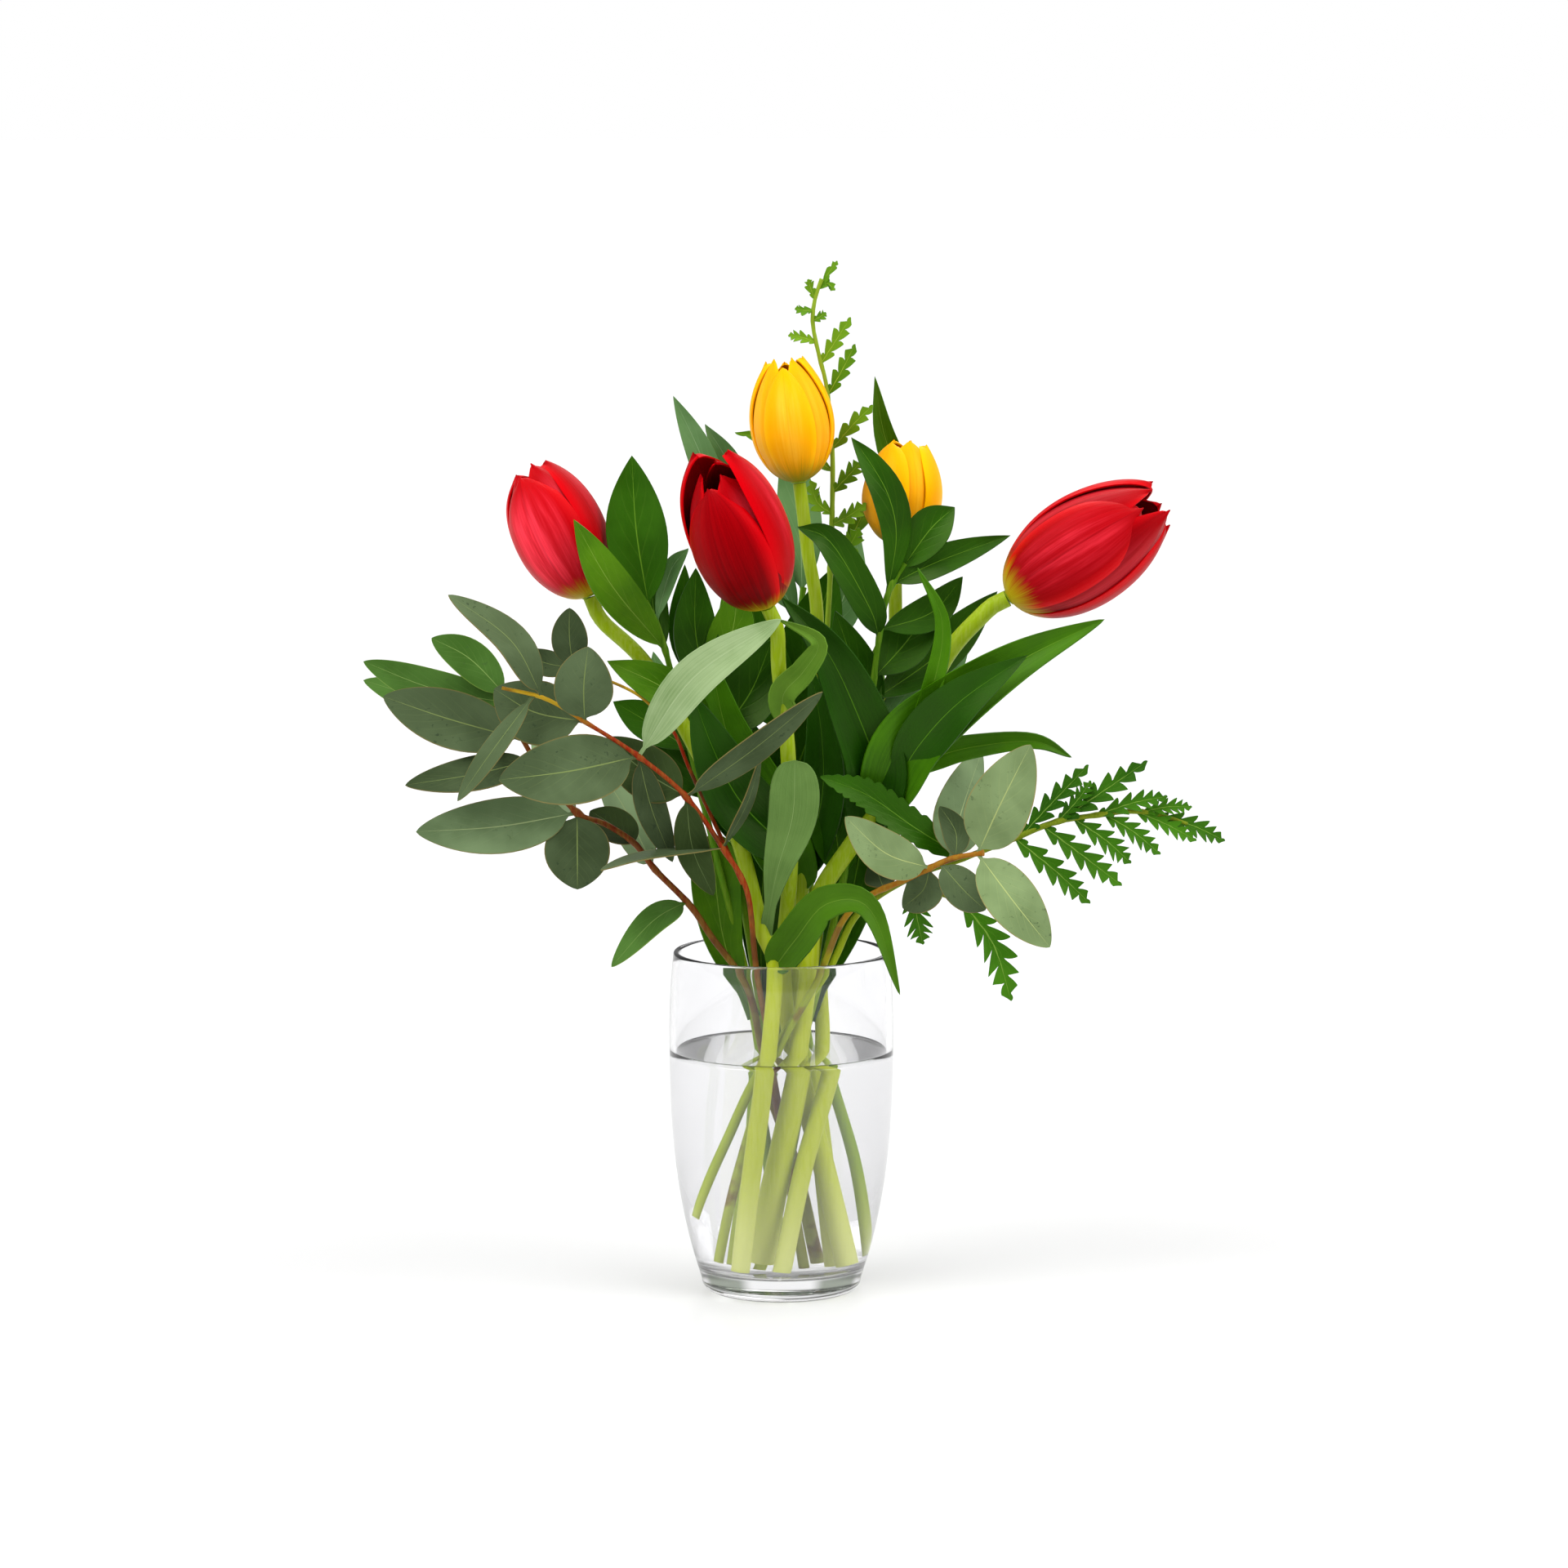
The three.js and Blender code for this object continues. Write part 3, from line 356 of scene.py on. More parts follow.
def leaf_faces(finish):
    """The materials of a leaf's face and of its back. A finish that is a back has the face behind it."""
    family, _, variant = finish.partition("_")
    back = family if variant == "under" else f"{family}_under"
    return leaf_finishes[finish], leaf_finishes[back]


print(len(leaf_finishes), "leaf finishes")

# %% [markdown]
# ## The finish of a stem
# A tulip's stem is juicy and bright: nearly white at the cut foot, then yellow-green, with faint lines
# along it. Woody twigs turn red or brown where the light reaches them. Height above the table sets
# where one colour gives way to the next, and a stretched noise draws the lines.

# %% Stem materials
FOOT_ENDS, FOOT_FADES, TOP_FADES = 12, 30, 60
TIP_STARTS, TIP_ENDS = 258, 272


def stem_material(name, foot, middle, top, change=(40, 130), blotch=None, tip=None):
    """Colours from the foot up, which give way to one another at two heights in millimetres."""
    material, tree = new_material(name)
    spot = node(tree, "TexCoord").outputs["Object"]
    height = node(tree, "SeparateXYZ", {0: spot}).outputs["Z"]
    low, high = change
    rise = spread(tree, height, FOOT_ENDS * MM, (low + FOOT_FADES) * MM)
    tint = blend(tree, rise, foot, middle)
    tint = blend(tree, spread(tree, height, high * MM, (high + TOP_FADES) * MM), tint, top)
    if tip:
        tint = blend(tree, spread(tree, height, TIP_STARTS * MM, TIP_ENDS * MM), tint, tip)
    squeezed = node(tree, "Mapping", {"Vector": spot, "Scale": (1, 1, 0.06)}).outputs[0]
    grain = node(tree, "TexNoise", {"Vector": squeezed, "Scale": 900, "Detail": 2}).outputs["Fac"]
    lines = spread(tree, grain, 0.35, 0.65)
    tint = blend(tree, times(tree, lines, 0.14), tint, foot)
    if blotch:
        patches = patchy(tree, 60, 0.52, 0.64)
        tint = blend(tree, times(tree, patches, 0.75), tint, blotch)
    dress(tree, {
        "Base Color": tint,
        "Roughness": spread(tree, grain, 0.3, 0.7, 0.45, 0.57),
        "Specular IOR Level": 0.25,
        "Specular Tint": LEAF_GLINT,
        "Normal": bumpy(tree, lines, 0.2, 0.15),
    })
    return material


BROWN = "5e2c1a"
stem_finishes = {
    "tulip": stem_material("tulip stem", "d4da80", "b2be14", "8ea808"),
    "red_twig": stem_material("red twig", "9aa044", "7a4c1a", "8a1002", (60, 135), BROWN, "b8901c"),
    "brown_twig": stem_material("brown twig", "9aa044", "6e5a1e", "70200e", (60, 125), BROWN),
    "orange_twig": stem_material("orange twig", "a8b440", "8c9c20", "9c5c12", (60, 130), "6e4628"),
    "green_twig": stem_material("green twig", "a8b440", "7c9a18", "4a7a0c"),
    "fern_twig": stem_material("fern rachis", "b4c030", "98ac18", "6c7c14"),
    "fern_green": stem_material("young fern rachis", "a8b440", "7c9a18", "86a428"),
}

# %% [markdown]
# ## The finish of a petal
# A tulip's petal is one colour with countless fine streaks of a lighter one, which run from the claw
# to the tip. A painted highlight in broad pale streaks across its middle stands for the shine of
# silk, and also lightens the whole petal a little; how strong it is on each petal is a number of
# the petal's own. Its foot fades into yellow-green where it grows from the stem, and an inner petal
# has painted shade, a deeper colour, where an outer one covers it.


# %% Petal materials
def petal_material(name, deep, main, margin, highlight_colour, claw, claw_end, rough):
    material, tree = new_material(name)
    blade, tone, from_rib = unrolled(tree)
    along = blade["Along"]
    satin = node(tree, "Attribute", attribute_name="satin").outputs["Fac"]
    shade = node(tree, "Attribute", attribute_name="shade").outputs["Fac"]
    blade["Tone"] = tone
    fine = effect(tree, streaks, {**blade, "Count": 46, "Length": 1.3})["Streak"]
    bands = effect(tree, streaks, {**blade, "Count": 6, "Length": 1})["Streak"]
    tint = blend(tree, spread(tree, along, 0.1, 0.8), deep, main)
    # Painted light: the more sheen a petal is given, the lighter the whole petal is painted.
    tint = blend(tree, times(tree, satin, 0.5), tint, margin)
    tint = blend(tree, spread(tree, from_rib, 0.3, 0.5), tint, margin)
    tint = blend(tree, times(tree, fine, 0.2), tint, margin)
    # Painted highlight: pale streaks in the middle of the petal, as strong as its sheen, stand for a lamp's
    # shine on silk.
    painted_highlight_zone = times(tree, spread(tree, from_rib, 0.12, 0.4, 1, 0), spread(tree, along, 0.1, 0.38))
    painted_highlight_zone = times(tree, painted_highlight_zone, spread(tree, along, 0.62, 0.92, 1, 0))
    painted_highlight_streaks = times(tree, spread(tree, bands, 0, 1, 0.15, 0.8), spread(tree, fine, 0, 1, 0.6, 1))
    tint = blend(tree, times(tree, times(tree, painted_highlight_streaks, painted_highlight_zone), satin), tint, highlight_colour)
    rib = spread(tree, from_rib, 0, 0.022, 0.25, 0)
    # A darker line down the middle of the petal, and the painted shade where an outer petal covers an inner
    # one, both take the deep colour.
    tint = blend(tree, maths(tree, "MAXIMUM", rib, shade), tint, deep)
    ragged = times(tree, maths(tree, "ADD", fine, bands), 0.05)
    reach = maths(tree, "ADD", along, ragged)
    tint = blend(tree, spread(tree, reach, 0.08, claw_end, 1, 0), tint, claw)
    dress(tree, {
        "Base Color": tint,
        "Roughness": spread(tree, fine, 0, 1, rough, rough + 0.1),
        "Specular IOR Level": 0.16,
        # The colour of the painted highlight also tints the real specular highlight.
        "Specular Tint": highlight_colour,
        "Subsurface Weight": 0.12,
        "Subsurface Radius": (0.003, 0.0015, 0.0008),
        "Normal": bumpy(tree, fine, 0.2, 0.2),
    })
    return material


# The fourth colour of each is that of the painted highlight.
PETALS = {
    "red": petal_material("red petal", "560002", "8a0005", "c80009", "ff4052", "b4a012", 0.28, 0.42),
    "yellow": petal_material("yellow petal", "e48c00", "fdaa00", "ffb800", "ffcc40", "8c8208", 0.34, 0.45),
}

# %% [markdown]
# ## Glass and water
# Clear glass bends what is seen through it. It should not darken the plants behind it, though, and a
# path tracer without caustics would leave them in shade. So both materials let shadow rays and
# diffuse rays pass straight through, and bend only what is looked at. A darker band of tint is painted
# low in the glass, at its four diagonals, as a painted reflection of the dark of a room that a thick
# base gathers there, and another is painted at the water's edge as a painted dark line.


# %% Clear materials
def clear_material(name, tint, ior, low, high, painted_dark_band, diagonals=False):
    """A clear material whose tint changes to a painted dark band between two heights in millimetres."""
    material, tree = new_material(name)
    place = node(tree, "SeparateXYZ", {0: node(tree, "TexCoord").outputs["Object"]}).outputs
    edge = (high - low) * 0.3
    starts = spread(tree, place["Z"], low * MM, (low + edge) * MM)
    inside = times(tree, starts, spread(tree, place["Z"], (high - edge) * MM, high * MM, 1, 0))
    # Painted reflection: in the glass the band keeps to the four diagonals, where a thick base would show
    # the dark of a room.
    if diagonals:
        turn = times(tree, maths(tree, "ARCTAN2", place["Y"], place["X"]), 2)
        diagonal = maths(tree, "ABSOLUTE", maths(tree, "SINE", turn))
        inside = times(tree, inside, spread(tree, diagonal, 0.62, 0.9))
    clear = node(tree, "BsdfPrincipled", {
        "Base Color": blend(tree, inside, tint, painted_dark_band),
        "Roughness": 0,
        "IOR": ior,
        "Transmission Weight": 1,
    })
    path = node(tree, "LightPath").outputs
    passes = maths(tree, "MAXIMUM", path["Is Shadow Ray"], path["Is Diffuse Ray"])
    through = node(tree, "BsdfTransparent", {"Color": "f8f8f8"})
    mixed = node(tree, "MixShader", {0: passes, 1: clear.outputs[0], 2: through.outputs[0]})
    node(tree, "OutputMaterial", {"Surface": mixed.outputs[0]})
    return material


# The glass's dark band is a painted reflection in its thick base, and the water's a painted dark line at
# its edge.
glass = clear_material("clear glass", "f7f7f8", 1.5, 2, 13, "5c6656", diagonals=True)
water_clear = clear_material("water", "f5f5f5", 1.33, 109.2, 111, "586050")

# %% [markdown]
# ## The studio
# The picture is taken on a white sweep, so the floor runs into the background without a line. The
# world is full white where the camera looks at it, but lights the plants more weakly, because shadow
# between the leaves is what gives the bouquet its depth. Seen through the glass it is white at eye
# level and dark above, as a studio is: a thick glass shows its shape by the dark that it bends into
# view. Four soft lamps do the modelling: one from each side in front, one above, and one behind. They
# are suns, which light a wide floor evenly, where a nearby lamp would leave its far end grey.

# %% Light the studio
WORLD_LIGHT = 0.32
CEILING_SEEN = 0.05

world = bpy.data.worlds.new("white studio")
world.use_nodes = True
bpy.context.scene.world = world
sky = world.node_tree
sky.nodes.clear()
looks = node(sky, "LightPath").outputs
upwards = node(sky, "SeparateXYZ", {0: node(sky, "TexCoord").outputs["Generated"]}).outputs["Z"]
backdrop = spread(sky, upwards, 0.1, 0.4, 1, CEILING_SEEN)
in_glass = times(sky, looks["Is Transmission Ray"], maths(sky, "SUBTRACT", backdrop, WORLD_LIGHT))
to_camera = times(sky, looks["Is Camera Ray"], 1 - WORLD_LIGHT)
strength = maths(sky, "ADD", maths(sky, "ADD", in_glass, to_camera), WORLD_LIGHT)
background = node(sky, "Background", {"Color": (1, 1, 1, 1), "Strength": strength})
node(sky, "OutputWorld", {"Surface": background.outputs[0]})
bpy.context.scene.view_settings.view_transform = "Standard"


def soft_sun(name, towards, strength, width):
    """A lamp far away in a direction, as wide in the sky as a large softbox, in degrees."""
    bpy.ops.object.light_add(type="SUN")
    lamp = bpy.context.object
    lamp.name = name
    lamp.data.energy = strength
    lamp.data.angle = math.radians(width)
    lamp.rotation_euler = Vector(towards).to_track_quat("Z", "Y").to_euler()


soft_sun("key lamp", (-0.95, -0.6, 1.15), 2.5, 45)
soft_sun("side lamp", (1, -0.42, 0.95), 2.3, 50)
soft_sun("top lamp", (0, 0.1, 1), 1, 90)
soft_sun("back lamp", (0.3, 1, 0.9), 0.8, 50)
print("lamps:", [each.name for each in bpy.data.lights])

# %% [markdown]
# ## The floor
# A sheet of paper with a faint gloss. The lamps light it just to white, so the soft shadow round the
# foot shows on it.

# %% Lay the floor
deselect()
bpy.ops.mesh.primitive_plane_add(size=30)
floor = bpy.context.object
floor.name = "floor"
paper, tree = new_material("white paper")
dress(tree, {"Base Color": "d8d8d8", "Roughness": 0.35, "Specular IOR Level": 0.25})
floor.data.materials.append(paper)

# %% [markdown]
# ## The vase
# The vase is blown into a turning mould, so one profile describes it all: a heavy foot with a rounded
# heel, a barrel that is widest near the top, a thin wall and a round lip. A lathe is the natural way:
# a single point is extruded along the profile, and the line is spun round the middle.

# %% Sizes of the glass, in millimetres
VASE_HEIGHT = 154
BELLY_RADIUS, BELLY_HEIGHT = 50.2, 118
FOOT_DRAW_IN, FOOT_CURVE = 16.4, 2.65
RIM_DRAW_IN = 2
HEEL_RADIUS, LIP_RADIUS = 6, 1.3
FOOT_WALL = 3.6
BASE_THICKNESS, FLOOR_CORNER = 11, 8
WATER_LEVEL = 109
CORNER_TOP = BASE_THICKNESS + FLOOR_CORNER
STEPS_ROUND, STEPS_UP = 160, 40


def glass_radius(z):
    if z >= BELLY_HEIGHT:
        return BELLY_RADIUS - RIM_DRAW_IN * ((z - BELLY_HEIGHT) / (VASE_HEIGHT - BELLY_HEIGHT)) ** 2
    return BELLY_RADIUS - FOOT_DRAW_IN * ((BELLY_HEIGHT - z) / BELLY_HEIGHT) ** FOOT_CURVE


def bore_radius(z):
    return glass_radius(z) - FOOT_WALL - (2 * LIP_RADIUS - FOOT_WALL) * z / VASE_HEIGHT


def evenly(low, high, count):
    return [low + (high - low) * i / count for i in range(count + 1)]


def arc(x, z, radius, start, end, count):
    turns = [math.radians(angle) for angle in evenly(start, end, count)]
    return [(x + radius * math.cos(turn), z + radius * math.sin(turn)) for turn in turns]


def floor_corner(radius):
    """The curve from the flat floor of the bore into its wall."""
    return arc(bore_radius(CORNER_TOP) - FLOOR_CORNER, CORNER_TOP, radius, -90, 0, 10)


def turned(profile):
    """Draws a profile of (radius, height) places point by point, and spins it into a closed solid."""
    deselect()
    bpy.ops.mesh.primitive_plane_add(size=1)
    piece = bpy.context.object
    bpy.ops.object.mode_set(mode="EDIT")
    bpy.ops.mesh.select_all(action="SELECT")
    bpy.ops.mesh.merge(type="CENTER")
    bpy.ops.transform.translate(value=(profile[0][0] * MM, 0, profile[0][1] * MM))
    for (x, z), (next_x, next_z) in zip(profile, profile[1:]):
        step = ((next_x - x) * MM, 0, (next_z - z) * MM)
        bpy.ops.mesh.extrude_vertices_move(TRANSFORM_OT_translate={"value": step})
    bpy.ops.mesh.select_all(action="SELECT")
    bpy.ops.mesh.spin(steps=STEPS_ROUND, angle=2 * math.pi, center=(0, 0, 0), axis=(0, 0, 1))
    bpy.ops.object.mode_set(mode="OBJECT")
    in_edit(piece, weld, face_outwards)
    bpy.ops.object.shade_smooth()
    return piece


# %% Turn the vase
lip_height = VASE_HEIGHT - LIP_RADIUS
outside = [(glass_radius(z), z) for z in evenly(HEEL_RADIUS, lip_height, STEPS_UP)[1:-1]]
inside = [(bore_radius(z), z) for z in evenly(CORNER_TOP, lip_height, STEPS_UP)[1:-1]]
vase = turned([
    (0, 0),
    *arc(glass_radius(HEEL_RADIUS) - HEEL_RADIUS, HEEL_RADIUS, HEEL_RADIUS, -90, 0, 8),
    *outside,
    *arc(glass_radius(lip_height) - LIP_RADIUS, lip_height, LIP_RADIUS, 0, 180, 12),
    *reversed(inside),
    *reversed(floor_corner(FLOOR_CORNER)),
    (0, BASE_THICKNESS),
])
vase.data.materials.append(glass)
stand_for(vase, "vase")

# %% [markdown]
# ## The water
# Water that is modelled with a gap to its glass shows a silver skin, because light meets air between
# the two. So it reaches a hair into the wall. Its surface climbs the glass in a small curve, the
# meniscus, which with a dark band painted into the water's tint there makes the dark line that is
# seen round the water's edge.

# %% Fill the vase
WATER_IN_GLASS = 0.15
MENISCUS_RISE, MENISCUS_WIDTH = 0.9, 1.1

top = WATER_LEVEL + MENISCUS_RISE
wet = [(bore_radius(z) + WATER_IN_GLASS, z) for z in evenly(CORNER_TOP, top, 30)[1:]]
edge_radius = wet[-1][0]
surface = []
for reach in (0.3, 0.7, 1.2, 1.8, 2.6, 3.6, 5, 7, 10, 15, 25):
    climb = MENISCUS_RISE * math.exp(-reach / MENISCUS_WIDTH)
    surface.append((edge_radius - reach, WATER_LEVEL + climb))
water = turned([
    (0, BASE_THICKNESS - WATER_IN_GLASS),
    *floor_corner(FLOOR_CORNER + WATER_IN_GLASS),
    *wet,
    *surface,
    (0, WATER_LEVEL),
])
water.data.materials.append(water_clear)
stand_for(water, "water")

# %% [markdown]
# ## A smooth line through a few points
# Stems and midribs are drawn as a few points each. A Catmull-Rom curve passes through all of
# them without corners, and is cheap to work out: each span leaves a point in the direction from the
# point before it to the point after it.

# %% Curves
FINE_STEPS = 400
HEADING_STEP = 0.002


def place_on(points, t):
    """The place at t, from 0 to 1, on the smooth curve through the points."""
    spans = len(points) - 1
    i = min(int(t * spans), spans - 1)
    w = t * spans - i
    a, b = points[i], points[i + 1]
    before = points[i - 1] if i > 0 else 2 * a - b
    after = points[i + 2] if i + 2 <= spans else 2 * b - a
    leave, arrive = (b - before) / 2, (after - a) / 2
    return a + w * (leave + w * ((3 * (b - a) - 2 * leave - arrive) + w * (2 * (a - b) + leave + arrive)))


def heading(points, t):
    ahead, behind = min(t + HEADING_STEP, 1), max(t - HEADING_STEP, 0)
    return (place_on(points, ahead) - place_on(points, behind)).normalized()


def evenly_along(points, count):
    """Places at equal distances along the smooth curve."""
    fine = [place_on(points, i / FINE_STEPS) for i in range(FINE_STEPS + 1)]
    reach = [0]
    for here, there in zip(fine, fine[1:]):
        reach.append(reach[-1] + (there - here).length)
    spaced = []
    i = 0
    for target in evenly(0, reach[-1], count):
        while i < FINE_STEPS - 1 and reach[i + 1] < target:
            i += 1
        share = (target - reach[i]) / max(reach[i + 1] - reach[i], 1e-9)
        spaced.append(fine[i].lerp(fine[i + 1], min(share, 1)))
    return spaced


# %% [markdown]
# ## Growing a stem
# A stem is a curve with a round bevel, which Blender turns into a closed tube. Each point of the
# curve has its own radius, so the stem tapers upwards, and swells where a leaf grows from a twig, as
# the joints of a real twig do. Two of the tulips widen to their cut foot.

# %% Draw a stem
STEM_STEPS = 90
JOINT_SWELL, JOINT_LENGTH = 0.2, 2.2 * MM
FLARE_LENGTH = 50 * MM


def grow_stem(route, radii, flare, finish, joints):
    """A tapering stem along a route in metres, thicker at its joints, and the places along it."""
    places = evenly_along(route, STEM_STEPS)
    deselect()
    bpy.ops.curve.primitive_bezier_curve_add()
    shape = bpy.context.object.data
    shape.dimensions = "3D"
    shape.splines.clear()
    line = shape.splines.new("POLY")
    line.points.add(STEM_STEPS)
    for i, (point, place) in enumerate(zip(line.points, places)):
        radius = radii[0] + (radii[1] - radii[0]) * i / STEM_STEPS
        radius *= 1 + flare * math.exp(-((place - places[0]).length / FLARE_LENGTH))
        for joint in joints:
            radius *= 1 + JOINT_SWELL * math.exp(-(((place - joint).length / JOINT_LENGTH) ** 2))
        point.co = (*place, 1)
        point.radius = radius * MM
    shape.bevel_depth = 1
    shape.bevel_resolution = 5
    shape.use_fill_caps = True
    bpy.ops.object.convert(target="MESH")
    piece = bpy.context.object
    in_edit(piece, weld, face_outwards)
    bpy.ops.object.shade_smooth_by_angle(angle=math.radians(50))
    piece.data.materials.clear()
    piece.data.materials.append(stem_finishes[finish])
    return piece, places


# %% [markdown]
# ## Leaf blanks
# Every leaf starts as a flat grid, whose UV map already runs across and along it. One blank is made
# for each kind. Its rows lie closer together at the root and the tip, where the outline turns fastest,
# unless it has lobes, which need them evenly. Each leaf is a copy with its own mesh, laid along its
# midrib: the width comes from an outline formula, and the edges are lifted, ruffled or cut into lobes.
# A Curve modifier would not let each leaf roll about its own midrib, so a formula places its points.

# %% How each kind of leaf is cut
END_CROWDING = 0.09
PLAIN = {"wave": 0, "stalk": 0.9, "petiole": 0, "teeth": 0, "lobes": 0, "thickness": 0.5}
FACE_OUT, FACE_BACK = Vector((0, -0.95, 0.3)), Vector((0, 0.95, 0.3))
KINDS = []


def leaf_kind(finish, rise, fall, fold, rows=26, columns=10, **cut):
    """Rise and fall are the powers of the outline towards the root and the tip.

    A stalk is half the width at the root in millimetres, a petiole the share of the length before the
    blade begins, and teeth the depth of the notches between lobes.
    """
    deselect()
    bpy.ops.mesh.primitive_grid_add(x_subdivisions=columns, y_subdivisions=rows, size=2)
    blank = bpy.context.object
    if "lobes" not in cut:
        for vertex in blank.data.vertices:
            share = (vertex.co.y + 1) / 2
            vertex.co.y = 2 * (share - END_CROWDING * math.sin(2 * math.pi * share)) - 1
    outline = {"rise": rise, "fall": fall, "fold": fold}
    KINDS.append({**PLAIN, **cut, **outline, "blank": blank, "finish": finish})
    return KINDS[-1]


GUM = leaf_kind("gum", 0.55, 0.75, 0.12, petiole=0.07)
BROAD = leaf_kind("broad", 0.8, 1, 0.28, petiole=0.04)
TULIP = leaf_kind("tulip", 0.35, 0.85, 0.5, rows=34, columns=14, wave=0.06, stalk=3, thickness=0.8)
SPOON = leaf_kind("tulip_waxy", 1.3, 0.4, 0.3, rows=30, stalk=3, thickness=0.8)
SAW = leaf_kind("fern", 0.4, 0.7, 0.2, rows=110, teeth=0.22, lobes=12)
PINNA = leaf_kind("fern", 0.4, 0.6, 0.15, rows=84, columns=6, stalk=0.8, teeth=0.86, lobes=6)
LEAFLET = leaf_kind("fern_young", 0.4, 0.6, 0.15, rows=60, columns=6, stalk=0.8, teeth=0.75, lobes=4)
BUD_LEAF = leaf_kind("fern_young", 0.4, 0.6, 0.15, rows=40, columns=6, stalk=0.8, teeth=0.7, lobes=3)

print(len(KINDS), "kinds of leaf")

# %% Lay a leaf along its midrib
LOBE_HALF, LOBE_SLANT, LOBE_SHIFT, LOBE_ROUNDING = 0.5, 1.1, 0.4, 0.6
TIP_LOBES = 2.5
FOLD_CURVE = 1.5
RUFFLES, RUFFLE_SHIFT = 9, 1.5


def width_share(kind, s):
    """How wide the outline is at a share s of the leaf's length, as a share of its greatest width."""
    s = max(0, (s - kind["petiole"]) / (1 - kind["petiole"]))
    rise, fall = kind["rise"], kind["fall"]
    widest = rise / (rise + fall)
    return s**rise * (1 - s) ** fall / (widest**rise * (1 - widest) ** fall)


def lobe(kind, s, across):
    """1 at the point of a lobe and 0 in the notch between two. The sides of a leaflet alternate."""
    off = abs((s * kind["lobes"] + (0 if across > 0 else LOBE_SHIFT)) % 1 - 0.5) / LOBE_HALF
    return max(0, 1 - off) ** LOBE_ROUNDING


def copy_of(blank):
    piece = blank.copy()
    piece.data = blank.data.copy()
    bpy.context.collection.objects.link(piece)
    return piece


def lay_leaf(facts, midrib, tone):
    kind, width, face = facts["kind"], facts["width"], facts["face"]
    piece = copy_of(kind["blank"])
    rows = {}
    for vertex in piece.data.vertices:
        across, s = vertex.co.x, (vertex.co.y + 1) / 2
        row = round(s, 5)
        if row not in rows:
            along = heading(midrib, s)
            normal = (face - along * face.dot(along)).normalized()
            normal = Quaternion(along, math.radians(facts["roll"])) @ normal
            half = max(kind["stalk"] * (1 - s), width / 2 * width_share(kind, s)) * MM
            rows[row] = (place_on(midrib, s), along, normal, along.cross(normal), half)
        middle, along, normal, side, half = rows[row]
        sweep = 0
        if kind["lobes"] and across:
            half *= 1 - kind["teeth"] * (1 - lobe(kind, s, across))
            sweep = half * LOBE_SLANT * min(1, TIP_LOBES * (1 - s)) * abs(across)
        swing = math.sin(RUFFLES * s + (RUFFLE_SHIFT if across > 0 else 0)) * abs(across)
        ruffle = kind["wave"] * width * MM * swing
        lift = kind["fold"] * half * abs(across) ** FOLD_CURVE + ruffle * (1 - s)
        vertex.co = middle + side * (half * across) + normal * lift + along * sweep
    mark(piece, tone=[tone] * len(piece.data.vertices))
    for material in leaf_faces(facts["finish"]):
        piece.data.materials.append(material)
    thicken(piece, kind["thickness"], back_slot=1)
    return piece


def mark(piece, **numbers):
    """Gives each point of a piece a number that its material reads by name."""
    for name, values in numbers.items():
        piece.data.attributes.new(name, "FLOAT", "POINT").data.foreach_set("value", values)


# %% [markdown]
# ## Blooms
# A tulip has six petals in two whorls of three. The inner ones stand between the outer ones and a
# little closer to the middle, so each outer petal overlaps its neighbours. All follow one cup, whose
# radius swells and closes again towards the tips. A petal is another grid, wrapped on the cup, with
# its sides pulled in to a rounded tip and its edges tucked against the petal beneath.

# %% Wrap the petals on their cup
PETAL_SPREAD = 58
PETAL_THICKNESS = 0.7
WHORL_GAP = 2.3
INNER_CLOSING = 0.055
EDGE_TUCK, TIP_TUCK = 0.55, 1.3
GROOVE, GROOVE_WIDTH = 0.3, 0.09
TIP_ROUNDING = 10
TIP_DROP, TIP_POINT, TIP_WIDTH = 0.015, 0.012, 0.2
SHADE, SHADE_EDGE = 0.7, 0.14
WARP = 0.25
SEAT = 0.9

deselect()
bpy.ops.mesh.primitive_grid_add(x_subdivisions=26, y_subdivisions=44, size=2)
petal_blank = bpy.context.object


def cup_radius(s, closing):
    return math.sin(math.pi * closing * s**0.75) ** 0.65


def in_metres(points):
    return [Vector(point) * MM for point in points]


